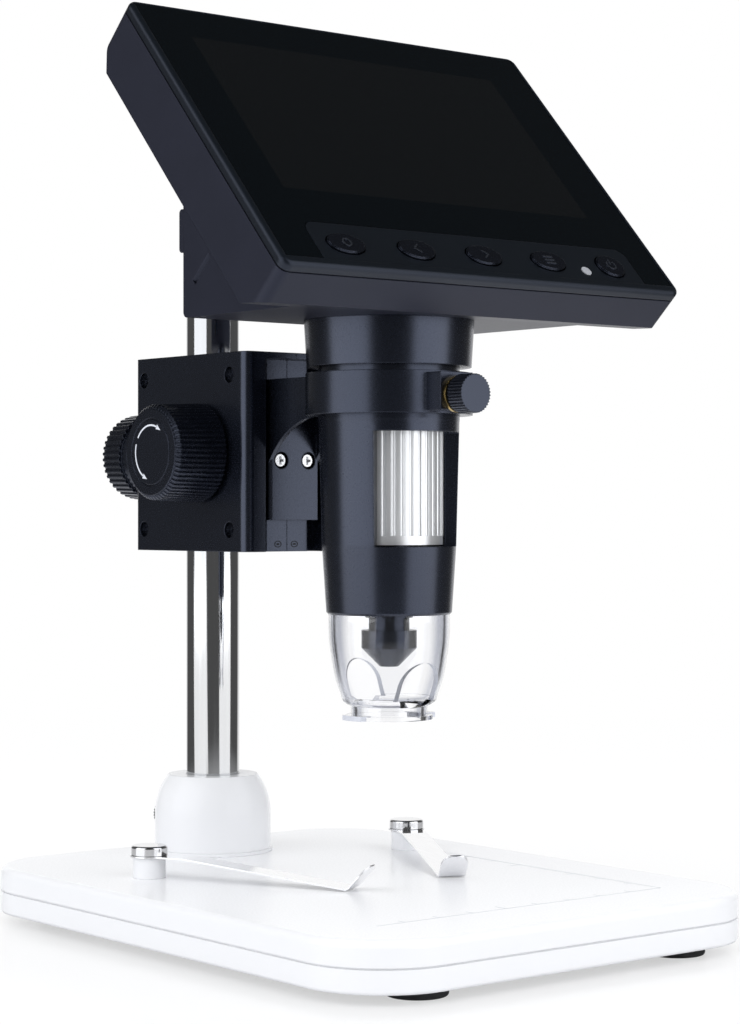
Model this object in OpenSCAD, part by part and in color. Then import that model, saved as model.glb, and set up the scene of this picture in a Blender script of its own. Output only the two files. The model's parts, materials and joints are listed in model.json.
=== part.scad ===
// Digital microscope on a post stand: white base with two stage clips, steel post,
// rack-and-pinion focus block, ring arm, lens barrel and a tilted display head.
// Millimetres, Z up, X to the right, the operator sits on the -Y side.
// The origin lies on the table below the middle of the whole stand.

/* [Base] */
// Width of the base
base_w = 124.9; // [118:0.1:150]
// Depth of the base
base_d = 163.8; // [156:0.1:190]
// Corner radius of the base seen from above
base_r = 20.8; // [14:0.1:26]
// Height of the base above its feet
base_h = 11.5; // [10.5:0.1:15]
// Rounding of the upper edge of the base
base_edge = 1.8; // [0.8:0.1:2.2]
// Wall of the two base mouldings
base_wall = 2.4; // [2:0.1:3]
// Height of the lower base moulding
tray_h = 5.7; // [5:0.1:7]
// Diameter of a rubber foot
foot_d = 14; // [9:0.5:18]
// Height of a rubber foot below the base
foot_h = 2.5; // [1:0.1:5]

/* [Post] */
// Diameter of the steel post
post_d = 14.2; // [12:0.1:15]
// Wall of the post tube
post_wall = 1.2; // [0.8:0.1:2]
// Height of the top of the post above the base
post_rise = 158; // [150:1:175]
// Distance of the post behind the middle of the base
post_back = 61.9; // [58:0.1:66]
// Diameter of the post socket
socket_d = 31; // [28:0.1:36]
// Height of the post socket above the base
socket_h = 20.5; // [18:0.1:30]
// Radius of the domed shoulder of the socket
socket_dome = 17; // [15.6:0.1:30]
// Height of the socket thumbscrew above the base
socket_screw_rise = 7.9; // [7:0.1:12]

/* [Stage clips] */
// Distance of each clip's rivet from the side of the base
clip_side = 21; // [18:0.1:28]
// Distance of each clip's rivet from the rear edge of the base
clip_rear = 51.4; // [46:0.1:60]
// Length of a clip from its rivet to its tip
clip_len = 60.3; // [48:0.1:66]
// Width of a clip
clip_w = 6.8; // [6:0.1:8]
// Thickness of the clip steel
clip_t = 0.4; // [0.3:0.05:0.8]
// Height of the post under a clip
clip_post_h = 5.1; // [4:0.1:8]
// Diameter of the post under a clip
clip_post_d = 8.2; // [7.6:0.1:10]
// Diameter of the rivet cap
clip_cap_d = 9.1; // [8.4:0.1:12]
// Height of the upturned tip of a clip
clip_tip_h = 5.8; // [4:0.1:8]
// Inward turn of each clip
clip_turn = 28; // [15:1:34]

/* [Focus block] */
// Width of the focus block
block_w = 32; // [30:0.1:40]
// Height of the focus block
block_h = 51; // [50:0.1:60]
// Height of the underside of the block above the base
block_rise = 80.4; // [70:0.1:90]
// Reach of the block ahead of the post axis
block_front = 37; // [36.8:0.1:37.6]
// Reach of the block behind the post axis
block_rear = 13.9; // [13.8:0.1:18]
// Rounding of the upright edges of the block
block_edge = 2.5; // [1:0.1:3]
// Width of the channel that the arm slides in
mouth_w = 19.4; // [17:0.1:21]
// Width of the bridges inside the channel
bridge_w = 13.1; // [12.8:0.1:15]
// Distance of the pinion ahead of the post axis
pinion_fwd = 17.4; // [17:0.1:17.6]
// Height of the pinion above the underside of the block
pinion_rise = 25.4; // [23:0.1:27]
// Diameter of a knob where it meets the block
knob_d = 25.6; // [20:0.1:28]
// Diameter of a knob at its outer face
knob_face_d = 24.4; // [18:0.1:26]
// Length of a side knob
knob_len = 14.7; // [9:0.1:18]
// Number of grip flutes on a side knob
knob_flutes = 60; // [24:1:72]
// Diameter of the rear clamp knob
clamp_knob_d = 24; // [18:0.1:28]
// Number of grip flutes on the rear clamp knob
clamp_flutes = 44; // [24:1:56]
// Reach of the rear clamp knob behind the post axis
clamp_reach = 36.2; // [32:0.1:44]

/* [Rack and pinion] */
// Pitch size of the gear teeth, pitch diameter over number of teeth
gear_module = 0.8; // [0.8:0.01:0.82]
// Number of teeth on the pinion
gear_teeth = 12; // [12:1:12]
// Diameter of the pinion shaft
shaft_d = 5; // [4:0.1:5.6]
// Way that the slide can go down
slide_down = 12; // [6:0.1:12.2]
// Way that the slide can go up
slide_up = 4.5; // [2:0.1:4.6]

/* [Arm] */
// Width of the arm plate and its web
arm_w = 16; // [14:0.1:17]
// Height of the arm plate
arm_h = 35.9; // [33:0.1:36.5]
// Height of the top of the arm above the underside of the block
arm_top = 44; // [43.6:0.1:44.4]
// Radius of the arch under the web
web_arch_r = 25.2; // [22:0.1:30]
// Outer diameter of the clamp ring
ring_d = 41; // [39:0.1:46]
// Height of the clamp ring
ring_h = 10.2; // [9:0.1:11]
// Distance of the barrel ahead of the middle of the base
barrel_fwd = 12.7; // [8:0.1:16]

/* [Barrel] */
// Height of the barrel's lower end above the base
barrel_rise = 65.6; // [62:0.1:68]
// Diameter of the barrel inside the clamp ring
barrel_d = 34.6; // [34:0.1:35.4]
// Diameter of the barrel at its lower end
barrel_low_d = 30.8; // [30.4:0.1:32]
// Length of the barrel from its lower end to the display head
barrel_len = 71.7; // [71:0.1:74]
// Half angle of the window over the focus wheel
window_turn = 52; // [30:1:60]
// Diameter of the focus wheel
wheel_d = 26.4; // [24:0.1:26.8]
// Number of ribs on the focus wheel
wheel_ribs = 36; // [30:1:60]
// Diameter of the lens tube
lens_d = 14; // [13.4:0.1:16]
// Length of the clear cap below the barrel
cap_len = 25.6; // [25:0.1:28]
// Diameter of the foot of the clear cap
cap_foot_d = 21.4; // [20:0.1:23]
// Wall of the clear cap
cap_wall = 1.5; // [1:0.1:1.8]

/* [Display head] */
// Width of the display housing
head_w = 123.2; // [120:0.1:124]
// Height of the display housing along its face
head_h = 92; // [90:0.1:96]
// Thickness of the display housing
head_t = 17.8; // [17:0.1:20]
// Tilt of the display face from flat
head_tilt = 47.2; // [44:0.1:50]
// Sideways set of the display housing
head_side = 0.6; // [0:0.1:0.6]
// Height of the middle of the face above the top of the barrel
head_rise = 41.2; // [40:0.1:43]
// Distance of the middle of the face ahead of the barrel axis
head_fwd = 7.7; // [6:0.1:9]
// Corner radius of the display housing
head_r = 2.6; // [2:0.1:4]
// Wall of the display housing
head_wall = 2.2; // [1.6:0.1:2.4]
// Thickness of the front bezel
bezel_t = 2.8; // [2.8:0.1:3.4]
// Width of the active screen
screen_w = 95; // [80:0.1:98]
// Height of the active screen
screen_h = 53.9; // [48:0.1:55]
// Width of the rear wedge
wedge_w = 90; // [86:0.1:96]
// Rounding of the lower rear edge of the wedge
wedge_edge = 1.5; // [0.6:0.1:2]
// Distance of the rear face of the wedge behind the barrel axis
wedge_rear = 23.3; // [22.8:0.1:25]
// Length of a key
key_w = 10.5; // [8:0.1:12]
// Height of a key
key_h = 6.5; // [5:0.1:7.4]
// Travel of a key
key_travel = 0.6; // [0.3:0.05:0.7]

/* [Fits] */
// Radial clearance of turning and sliding round parts
run_gap = 0.05; // [0.02:0.01:0.08]
// Clearance between flat sliding faces
slide_gap = 0.2; // [0.1:0.05:0.3]
// Clearance round fixed parts in their seats
seat_gap = 0.1; // [0.05:0.01:0.15]

/* [Hidden] */
$fn = 64;
eps = 0.01;

// main heights, from the table up
base_top = foot_h + base_h;
tray_floor = foot_h + base_wall;
split_z = foot_h + tray_h;
block_z = base_top + block_rise;
pinion_z = block_z + pinion_rise;
arm_z = block_z + arm_top;
ring_z = arm_z - ring_h;
barrel_z = base_top + barrel_rise;
shell_z = barrel_z + barrel_len;

// the stand is centred on the box that holds it all
base_y = (base_d / 2 - post_back - clamp_reach) / 2;
post_y = base_y + post_back;
barrel_y = base_y - barrel_fwd;
arm_reach = post_back + barrel_fwd;

module at_base(z = 0) { translate([0, base_y, z]) children(); }
module at_post(z = 0) { translate([0, post_y, z]) children(); }
module at_pinion() { translate([0, post_y - pinion_fwd, pinion_z]) children(); }
module at_barrel(z = 0) { translate([0, barrel_y, z]) children(); }
module to_right() { rotate([0, 90, 0]) children(); }
module to_left() { rotate([0, -90, 0]) children(); }
module to_rear() { rotate([-90, 0, 0]) children(); }
module to_front() { rotate([90, 0, 0]) children(); }

// ---------- shared shapes ----------

module rounded_rect(w, d, r) {
    square([w - 2 * r, d], center = true);
    square([w, d - 2 * r], center = true);
    for (x = [-1, 1], y = [-1, 1]) translate([x * (w / 2 - r), y * (d / 2 - r)]) circle(r);
}

// side view of a plate whose upper edges are rounded
module soft_profile(w, h, e) {
    translate([-w / 2, 0]) square([w, h - e]);
    translate([-w / 2 + e, 0]) square([w - 2 * e, h]);
    for (x = [-1, 1]) translate([x * (w / 2 - e), h - e]) circle(e);
}

// rounded rectangle plate with a rounded upper edge
module soft_plate(w, d, r, h, e) {
    for (x = [-1, 1], y = [-1, 1]) translate([x * (w / 2 - r), y * (d / 2 - r)])
        rotate_extrude() intersection() {
            soft_profile(2 * r, h, e);
            square([r, h]);
        }
    rotate([90, 0, 0]) linear_extrude(d - 2 * r, center = true) soft_profile(w, h, e);
    rotate([90, 0, 90]) linear_extrude(w - 2 * r, center = true) soft_profile(d, h, e);
}

// ellipse: half length a, half height b
module oval(a, b) polygon([for (t = [0 : 9 : 351]) [a * cos(t), b * sin(t)]]);

// pan head screw with a cross recess, seat at zero, shank down
module cross_screw(head, head_h, shank, len) {
    difference() {
        union() {
            cylinder(d = head, h = head_h);
            translate([0, 0, -len]) cylinder(d = shank, h = len + head_h / 2);
        }
        for (a = [0, 90]) rotate(a)
            translate([0, 0, head_h]) cube([head * 0.64, head * 0.2, head_h * 1.2], center = true);
    }
}

// tapered grip with flutes that lean with its taper
module fluted_grip(d1, d2, h, flutes, depth) {
    flute_r = PI * d2 / flutes * 0.3;
    difference() {
        cylinder(d1 = d1, d2 = d2, h = h);
        for (i = [0 : flutes - 1]) rotate(i * 360 / flutes)
            translate([d1 / 2 + flute_r - depth, 0, 0]) rotate([0, -atan((d1 - d2) / 2 / h), 0])
                translate([0, 0, -1]) cylinder(r = flute_r, h = h + 2, $fn = 16);
    }
}

// strip of constant thickness t along a line of points
function strip_dir(p, i) = let (a = p[max(i - 1, 0)], b = p[min(i + 1, len(p) - 1)], d = b - a)
    d / norm(d);
function strip_side(p, t) = [for (i = [0 : len(p) - 1]) let (d = strip_dir(p, i)) p[i] + [-d[1], d[0]] * t];
module strip(p, t) {
    up = strip_side(p, t);
    polygon(concat(p, [for (i = [len(p) - 1 : -1 : 0]) up[i]]));
}

// ---------- base ----------

foot_side = 22.5;
foot_end = 11;
foot_seat = 0.8;
screw_in = 9;
screw_head_d = 5;
screw_head_h = 1.5;
screw_d = 2.5;
socket_spigot_d = 26;
socket_floor = 2;
clip_pin_d = 3;
clip_spigot_d = 5.6;
clip_spigot_h = 5;
lip_w = 1.2;
lip_h = 2;
seam = 0.35;

foot_places = [for (x = [-1, 1], y = [-1, 1])
    [x * (base_w / 2 - foot_side), y * (base_d / 2 - foot_end)]];
base_screw_places = [for (x = [-1, 1], y = [-1, 0, 1])
    [x * (base_w / 2 - screw_in), y * (base_d / 2 - base_r - screw_in)]];
socket_screw_places = [for (a = [30, 150, 270])
    [0, post_back] + (post_d / 4 + socket_spigot_d / 4) * [cos(a), sin(a)]];
clip_places = [for (x = [-1, 1]) [x * (base_w / 2 - clip_side), base_d / 2 - clip_rear]];

module base_shell() color("#f3f4f7") at_base(split_z) {
    shell_h = base_top - split_z;
    difference() {
        soft_plate(base_w, base_d, base_r, shell_h, base_edge);
        translate([0, 0, -1]) linear_extrude(shell_h - base_wall + 1)
            rounded_rect(base_w - 2 * base_wall, base_d - 2 * base_wall, base_r - base_wall);
        translate([0, post_back, 0]) cylinder(d = socket_spigot_d + 2 * seat_gap, h = shell_h + 1);
        for (p = clip_places) translate(p) cylinder(d = clip_spigot_d + 2 * seat_gap, h = shell_h + 1);
    }
    for (p = base_screw_places) translate([p[0], p[1], tray_floor - split_z]) difference() {
        cylinder(d = 3 * screw_d, h = base_top - tray_floor - base_wall / 2);
        translate([0, 0, -1]) cylinder(d = screw_d + 2 * run_gap, h = base_top - tray_floor - base_wall + 1);
    }
}

module base_tray() color("#eceef2") at_base(foot_h) {
    inner = 2 * (base_wall + seat_gap + lip_w);
    lip_out = 2 * (base_wall + seat_gap);
    difference() {
        union() {
            mirror([0, 0, 1]) translate([0, 0, -tray_h + seam])
                soft_plate(base_w, base_d, base_r, tray_h - seam, 0.8);
            linear_extrude(tray_h)
                rounded_rect(base_w - 2 * seam, base_d - 2 * seam, base_r - seam);
            linear_extrude(tray_h + lip_h)
                rounded_rect(base_w - lip_out, base_d - lip_out, base_r - lip_out / 2);
        }
        translate([0, 0, base_wall]) linear_extrude(tray_h + lip_h)
            rounded_rect(base_w - inner, base_d - inner, base_r - inner / 2);
        for (p = foot_places) translate(p)
            translate([0, 0, -1]) cylinder(d = foot_d + 2 * seat_gap, h = foot_seat + 1);
        for (p = concat(base_screw_places, socket_screw_places)) translate(p) {
            translate([0, 0, -1]) cylinder(d = screw_d + 2 * seat_gap, h = base_wall + 2);
            translate([0, 0, -1]) cylinder(d = screw_head_d + 2 * seat_gap, h = screw_head_h + 1);
        }
    }
}

module base_screws() color("silver") at_base(foot_h + screw_head_h) {
    for (p = concat(base_screw_places, socket_screw_places)) translate(p)
        mirror([0, 0, 1]) cross_screw(screw_head_d, screw_head_h - seat_gap, screw_d, 6);
}

module rubber_feet() color("#18191b") at_base() {
    for (p = foot_places) translate(p) rotate_extrude() intersection() {
        mirror([0, 1]) translate([0, -foot_h - foot_seat]) soft_profile(foot_d, foot_h + foot_seat, 0.7);
        square([foot_d, foot_h + foot_seat]);
    }
}

// ---------- post and socket ----------

insert_d = 6;
insert_len = 5;
socket_stud_d = 4;
thumb_d = 9.5;
thumb_len = 5.6;

module socket_profile() {
    dome_z = socket_h - sqrt(pow(socket_dome, 2) - pow(socket_d / 2 - 3.6 - socket_d / 2 + socket_dome, 2));
    square([socket_d / 2, dome_z]);
    intersection() {
        translate([socket_d / 2 - socket_dome, dome_z]) circle(socket_dome, $fn = 128);
        square([socket_d, socket_h]);
    }
    square([socket_d / 2 + 0.5, 0.9]);
    translate([0, tray_floor - base_top]) square([socket_spigot_d / 2, base_top - tray_floor]);
}

module post_socket() color("#f3f4f7") at_post(base_top) difference() {
    rotate_extrude() difference() {
        intersection() {
            socket_profile();
            translate([0, tray_floor - base_top]) square([socket_d, socket_h + base_top - tray_floor]);
        }
        translate([0, tray_floor + socket_floor - base_top])
            square([post_d / 2 + run_gap, socket_h + base_h]);
    }
    translate([0, 0, socket_screw_rise]) to_rear() {
        cylinder(d = socket_stud_d + 2 * run_gap, h = socket_d);
        translate([0, 0, socket_d / 2 - insert_len - 1])
            cylinder(d = insert_d + 2 * seat_gap, h = socket_d);
    }
    for (p = socket_screw_places) translate([p[0], p[1] - post_back, tray_floor - base_top - 1])
        cylinder(d = screw_d + 2 * run_gap, h = 7.5);
}

module socket_insert() color("#b08d3c") at_post(base_top + socket_screw_rise) to_rear()
    translate([0, 0, socket_d / 2 - insert_len - 1 + seat_gap]) difference() {
        cylinder(d = insert_d, h = insert_len);
        translate([0, 0, -1]) cylinder(d = socket_stud_d + 2 * run_gap, h = insert_len + 2);
    }

// small thumbscrew: stud along +Z from zero, knob from `to`
module thumbscrew(to, stud) {
    cylinder(d = stud, h = to + 1);
    translate([0, 0, to]) cylinder(d = thumb_d - 2, h = 1.2);
    translate([0, 0, to + 0.8]) fluted_grip(thumb_d, thumb_d - 0.2, thumb_len - 0.8, 36, 0.25);
}

module socket_thumbscrew() color("#1b1c1f") at_post(base_top + socket_screw_rise) to_rear()
    translate([0, 0, post_d / 2 + 2 * run_gap])
        thumbscrew((socket_d - post_d) / 2 + 0.3, socket_stud_d);

module post_tube() color("#c9ccd0") at_post(tray_floor + socket_floor) difference() {
    tube_h = base_top + post_rise - tray_floor - socket_floor;
    cylinder(d = post_d, h = tube_h);
    translate([0, 0, -1]) cylinder(d = post_d - 2 * post_wall, h = tube_h + 2);
}

module post_cap() color("#1b1c1f") at_post(base_top + post_rise) {
    rotate_extrude() intersection() {
        soft_profile(post_d, 1.8, 0.8);
        square([post_d, 2]);
    }
    translate([0, 0, -8]) cylinder(d = post_d - 2 * post_wall - 2 * seat_gap, h = 8.5);
}

// ---------- stage clips ----------

clip_post_top = base_top + clip_post_h;
rivet_cap_h = 2.35;
clip_flat = 11;
clip_eye_d = clip_cap_d + 0.6;
clip_bend = clip_len - clip_tip_h;
clip_tip_r = 2.5;

module clip_posts() color("#f3f4f7") at_base(base_top) for (p = clip_places) translate(p) difference() {
    union() {
        cylinder(d = clip_post_d, h = clip_post_h);
        translate([0, 0, -clip_spigot_h]) cylinder(d = clip_spigot_d, h = clip_spigot_h + 1);
    }
    translate([0, 0, -clip_spigot_h - 1]) cylinder(d = clip_pin_d + 2 * run_gap, h = 30);
}

// blade along +X from its rivet, its underside on the clip post
module clip_blade() {
    drop = clip_post_h - 0.2;
    line = [[-clip_eye_d / 2, 0], [clip_flat, 0], [clip_bend, -drop],
            [clip_bend + 0.7, 0.35 - drop], [clip_len, clip_tip_h - drop]];
    difference() {
        intersection() {
            rotate([90, 0, 0]) linear_extrude(clip_eye_d + 2, center = true) strip(line, clip_t);
            translate([0, 0, -drop - 1]) linear_extrude(clip_post_h + clip_tip_h + 2) {
                circle(d = clip_eye_d);
                translate([0, -clip_w / 2]) square([clip_len - clip_tip_r, clip_w]);
                translate([clip_len - clip_tip_r, 0]) oval(clip_tip_r, clip_w / 2);
            }
        }
        translate([0, 0, -1]) cylinder(d = clip_pin_d + 2 * seat_gap, h = 5);
    }
}

// turned so that it points forward and inward
module clip_at(side) {
    translate([side * (base_w / 2 - clip_side), base_y + base_d / 2 - clip_rear, clip_post_top + slide_gap / 2])
        rotate(-90 - side * clip_turn) children();
}

module clip_rivet() {
    translate([0, 0, clip_t + run_gap]) rotate_extrude() intersection() {
        soft_profile(clip_cap_d, rivet_cap_h, 0.6);
        square([clip_cap_d, rivet_cap_h]);
    }
    translate([0, 0, -clip_post_h - clip_spigot_h - 0.6])
        cylinder(d = clip_pin_d, h = clip_post_h + clip_spigot_h + clip_t + 1);
    translate([0, 0, -clip_post_h - clip_spigot_h - 1.1 - slide_gap]) cylinder(d = 4.6, h = 1);
}

module clip_left() color("#d5d7da") clip_at(-1) clip_blade();
module clip_right() color("#d5d7da") clip_at(1) clip_blade();
module clip_rivet_left() color("#c4c6ca") clip_at(-1) clip_rivet();
module clip_rivet_right() color("#c4c6ca") clip_at(1) clip_rivet();

// ---------- focus block ----------

bridge_y = block_front - 4;
bridge_t = 6.5;
groove_d = 1.9;
roof_t = 1.6;
slot_y = bridge_y - bridge_t;
slot_t = 2.5;
slot_end = 2.2;
window_top = arm_top - 1.8;
window_low = arm_top - arm_h + 0.2;
block_screw_places = [for (y = [3.3 - bridge_y, 9.1], z = [5.6, 45.2]) [y, z]];
block_screw_d = 2.2;
block_head_d = 3.9;
block_seat = 5;
clamp_stud_d = 6;
clamp_nut_af = 10;
clamp_nut_t = 4;
clamp_pad_d = 7.6;
clamp_pad_t = 1.6;
clamp_pad_y = post_d / 2 + run_gap;
clamp_nut_y = clamp_pad_y + clamp_pad_t + 0.35;
clamp_z = 25.4;
clamp_grip = 8.4;
bush_d = 8.6;
bush_in = 9;
rack_w = 8;
gear_w = 9;
pitch_r = gear_module * gear_teeth / 2;
rack_pitch_y = pinion_fwd + pitch_r;

// everything that is cut from the two block halves, from the post axis and the block's underside
module block_cuts() {
    // post bore
    translate([0, 0, -1]) cylinder(d = post_d + 2 * run_gap, h = block_h + 2);
    // open channel with its side grooves, below the roof
    translate([-mouth_w / 2, -block_front - 1, -1])
        cube([mouth_w, block_front - bridge_y + 1, block_h - roof_t + 1]);
    for (x = [-1, 1]) translate([x * (mouth_w + bridge_w) / 4, -bridge_y, (block_h - roof_t) / 2 - 0.5])
        cube([(mouth_w - bridge_w) / 2, 2 * groove_d, block_h - roof_t + 1], center = true);
    // window for the neck, slot for the carriage and relief for the rack
    translate([-neck_w / 2 - slide_gap, -bridge_y - 1, window_low])
        cube([neck_w + 2 * slide_gap, bridge_t + 2, window_top - window_low]);
    translate([-carriage_w / 2 - slide_gap, -slot_y, slot_end])
        cube([carriage_w + 2 * slide_gap, slot_t, block_h - 2 * slot_end]);
    translate([-rack_w / 2 - slide_gap, -slot_y, slot_end])
        cube([rack_w + 2 * slide_gap, slot_y - rack_pitch_y + 2, block_h - 2 * slot_end]);
    // gear chamber and shaft bores
    translate([0, -pinion_fwd, pinion_rise]) to_right() {
        translate([0, 0, -gear_w / 2 - 0.5]) cylinder(r = pitch_r + 1.3, h = gear_w + 1);
        translate([0, 0, -block_w]) cylinder(d = shaft_d + 2 * run_gap, h = 2 * block_w);
        translate([0, 0, bush_in]) cylinder(d = bush_d + 2 * seat_gap, h = block_w);
    }
    // clamp pad, nut and stud
    translate([0, 0, clamp_z]) to_rear() {
        cylinder(d = clamp_stud_d + 0.4, h = block_rear + 1);
        cylinder(d = clamp_pad_d + 0.2, h = clamp_nut_y + 0.1);
        translate([0, 0, clamp_nut_y - 0.1])
            cylinder(d = (clamp_nut_af + 0.3) / cos(30), h = clamp_nut_t + 0.3, $fn = 6);
    }
    // case screws, heads sunk from the left
    for (p = block_screw_places) translate([0, p[0], p[1]]) to_right() {
        translate([0, 0, -block_w]) cylinder(d = block_head_d + 0.2, h = block_w / 2 + block_seat);
        translate([0, 0, -block_w / 2]) cylinder(d = block_screw_d + 2 * run_gap, h = 26);
    }
}

module block_half(side) at_post(block_z) difference() {
    intersection() {
        translate([0, (block_rear - block_front) / 2, 0]) linear_extrude(block_h)
            rounded_rect(block_w, block_front + block_rear, block_edge);
        translate([side < 0 ? -block_w : 0, -2 * block_w, -1]) cube([block_w, 4 * block_w, block_h + 2]);
    }
    block_cuts();
}

module block_left() color("#1d1e21") block_half(-1);
module block_right() color("#1d1e21") block_half(1);

module block_screws() color("#6d7076") at_post(block_z) for (p = block_screw_places)
    translate([block_seat - block_w / 2, p[0], p[1]]) to_left()
        cross_screw(block_head_d, 1.6, block_screw_d, block_w - 12.5);

module clamp_pad() color("#d9d2b8") at_post(block_z + clamp_z) to_rear()
    translate([0, 0, clamp_pad_y]) cylinder(d = clamp_pad_d, h = clamp_pad_t);

module clamp_nut() color("#b9bcc0") at_post(block_z + clamp_z) to_rear()
    translate([0, 0, clamp_nut_y]) difference() {
        cylinder(d = clamp_nut_af / cos(30), h = clamp_nut_t, $fn = 6);
        translate([0, 0, -1]) cylinder(d = clamp_stud_d + 2 * run_gap, h = clamp_nut_t + 2);
    }

module clamp_stud() color("#b9bcc0") at_post(block_z + clamp_z) to_rear()
    translate([0, 0, clamp_nut_y - 0.2]) cylinder(d = clamp_stud_d, h = clamp_reach - clamp_nut_y - 6);

module clamp_knob() color("#1b1c1f") at_post(block_z + clamp_z) to_rear() difference() {
    union() {
        translate([0, 0, block_rear + 0.4])
            cylinder(d = clamp_knob_d - 5.6, h = clamp_reach - block_rear - 5);
        translate([0, 0, clamp_reach - clamp_grip - 2.7])
            cylinder(d1 = clamp_knob_d - 2, d2 = clamp_knob_d - 1.2, h = clamp_grip);
        translate([0, 0, clamp_reach - clamp_grip])
            fluted_grip(clamp_knob_d, clamp_knob_d - 0.6, clamp_grip, clamp_flutes, 0.45);
    }
    cylinder(d = clamp_stud_d + 2 * seat_gap, h = clamp_reach - 6);
    translate([0, 0, clamp_reach - 0.5]) cylinder(d = clamp_knob_d - 6, h = 1);
}

// ---------- focus drive ----------

knob_start = block_w / 2 + 1;
knob_shoulder = 1.1;

// side knob along +Z from its inner face, with a bore for its shaft or stud
module side_knob() difference() {
    union() {
        fluted_grip(knob_d, knob_face_d, knob_len - knob_shoulder, knob_flutes, 0.4);
        translate([0, 0, knob_len - knob_shoulder])
            fluted_grip(knob_face_d, knob_face_d - 1.6, knob_shoulder - 0.3, knob_flutes, 0.4);
        cylinder(d1 = knob_face_d - 1, d2 = knob_face_d - 2.4, h = knob_len);
    }
    translate([0, 0, knob_len - 0.3]) difference() {
        cylinder(d = knob_face_d - 7, h = 1);
        translate([0, 0, -1]) cylinder(d = knob_face_d - 7.8, h = 3);
    }
    translate([0, 0, -1]) cylinder(d = shaft_d + 2 * seat_gap, h = knob_len - 1.5);
}

module focus_knob() color("#1b1c1f") at_pinion() to_right() translate([0, 0, knob_start]) side_knob();
module lock_knob() color("#1b1c1f") at_pinion() to_left() translate([0, 0, knob_start]) side_knob();

module lock_stud() color("#b9bcc0") at_pinion() to_left()
    translate([0, 0, 10.9]) cylinder(d = shaft_d, h = knob_start + knob_len - 14);

module shaft_bush() color("#b08d3c") at_pinion() to_right() translate([0, 0, bush_in]) difference() {
    cylinder(d = bush_d, h = block_w / 2 - bush_in + slide_gap);
    translate([0, 0, -1]) cylinder(d = shaft_d + 2 * run_gap, h = block_w);
}

// half widths of a gear tooth at its root, pitch line and tip, with play
tooth_up = 0.7;
tooth_down = 1;
function tooth_half(rise) = (PI * gear_module / 2 - 0.25) / 2 - rise * tan(20);
module tooth() polygon([[-tooth_half(-tooth_down), -tooth_down - 0.2], [tooth_half(-tooth_down), -tooth_down - 0.2],
    [tooth_half(tooth_up), tooth_up], [-tooth_half(tooth_up), tooth_up]]);

module pinion_shaft() color("#c9ccd0") at_pinion() to_right() {
    translate([0, 0, -10.6]) cylinder(d = shaft_d, h = 10.6 + knob_start + knob_len - 3);
    translate([0, 0, -gear_w / 2]) linear_extrude(gear_w) {
        circle(r = pitch_r - tooth_down);
        for (i = [0 : gear_teeth - 1]) rotate(180 + i * 360 / gear_teeth)
            translate([0, pitch_r]) tooth();
    }
}

// ---------- carriage, arm and ring ----------

carriage_w = 19;
carriage_h = 29;
carriage_t = 2.1;
neck_w = 12.2;
neck_low = window_low + slide_down + 0.2;
neck_top = window_top - slide_up - 0.1;
arm_front = block_front - 0.5;
arm_back = bridge_y + slide_gap;
arm_screw_x = 4.35;
arm_screw_z = pinion_rise - 2;
arm_screw_d = 1.8;
arm_screw_head = 3.2;
arm_screw_seat = 2;
web_h = ring_h + 13.8;
web_wall = 1.2;
web_roof = 2.4;
arch_fwd = web_arch_r - 4.8;
carriage_top = block_h - slot_end - slide_up - 0.3;
rack_back = slot_y - slide_gap - carriage_t;

module carriage() color("#26272b") at_post(block_z) difference() {
    union() {
        translate([-carriage_w / 2, -slot_y + slide_gap, carriage_top - carriage_h])
            cube([carriage_w, carriage_t, carriage_h]);
        translate([-neck_w / 2, -arm_back, neck_low])
            cube([neck_w, arm_back - slot_y + slide_gap + 1, neck_top - neck_low]);
    }
    for (x = [-1, 1]) translate([x * arm_screw_x, -arm_back - 1, arm_screw_z])
        to_rear() cylinder(d = arm_screw_d + 2 * run_gap, h = 7.5);
}

module rack() color("#c8c2b0") at_post(block_z) {
    base_y0 = rack_pitch_y + tooth_down;
    translate([-rack_w / 2, -rack_back, carriage_top - carriage_h])
        cube([rack_w, rack_back - base_y0, carriage_h]);
    pitch = PI * gear_module;
    below = floor((pinion_rise - carriage_top + carriage_h) / pitch - 0.5);
    above = floor((carriage_top - pinion_rise) / pitch - 0.5);
    for (i = [-below : above - 1]) translate([0, -rack_pitch_y, pinion_rise + (i + 0.5) * pitch])
        rotate([0, 90, 0]) linear_extrude(rack_w, center = true) tooth();
}

module web_profile() difference() {
    // front edge at the ring, rear edge at the arm plate
    translate([-arm_reach, arm_top - web_h]) square([arm_reach - arm_front + 1, web_h]);
    translate([-arm_front - arch_fwd, arm_top - ring_h + 0.3 - web_arch_r]) circle(web_arch_r, $fn = 128);
    translate([-arm_reach - 1, arm_top - web_h - 1])
        square([arm_reach - arm_front - arch_fwd + 1, web_h + 1 - ring_h]);
}

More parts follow.
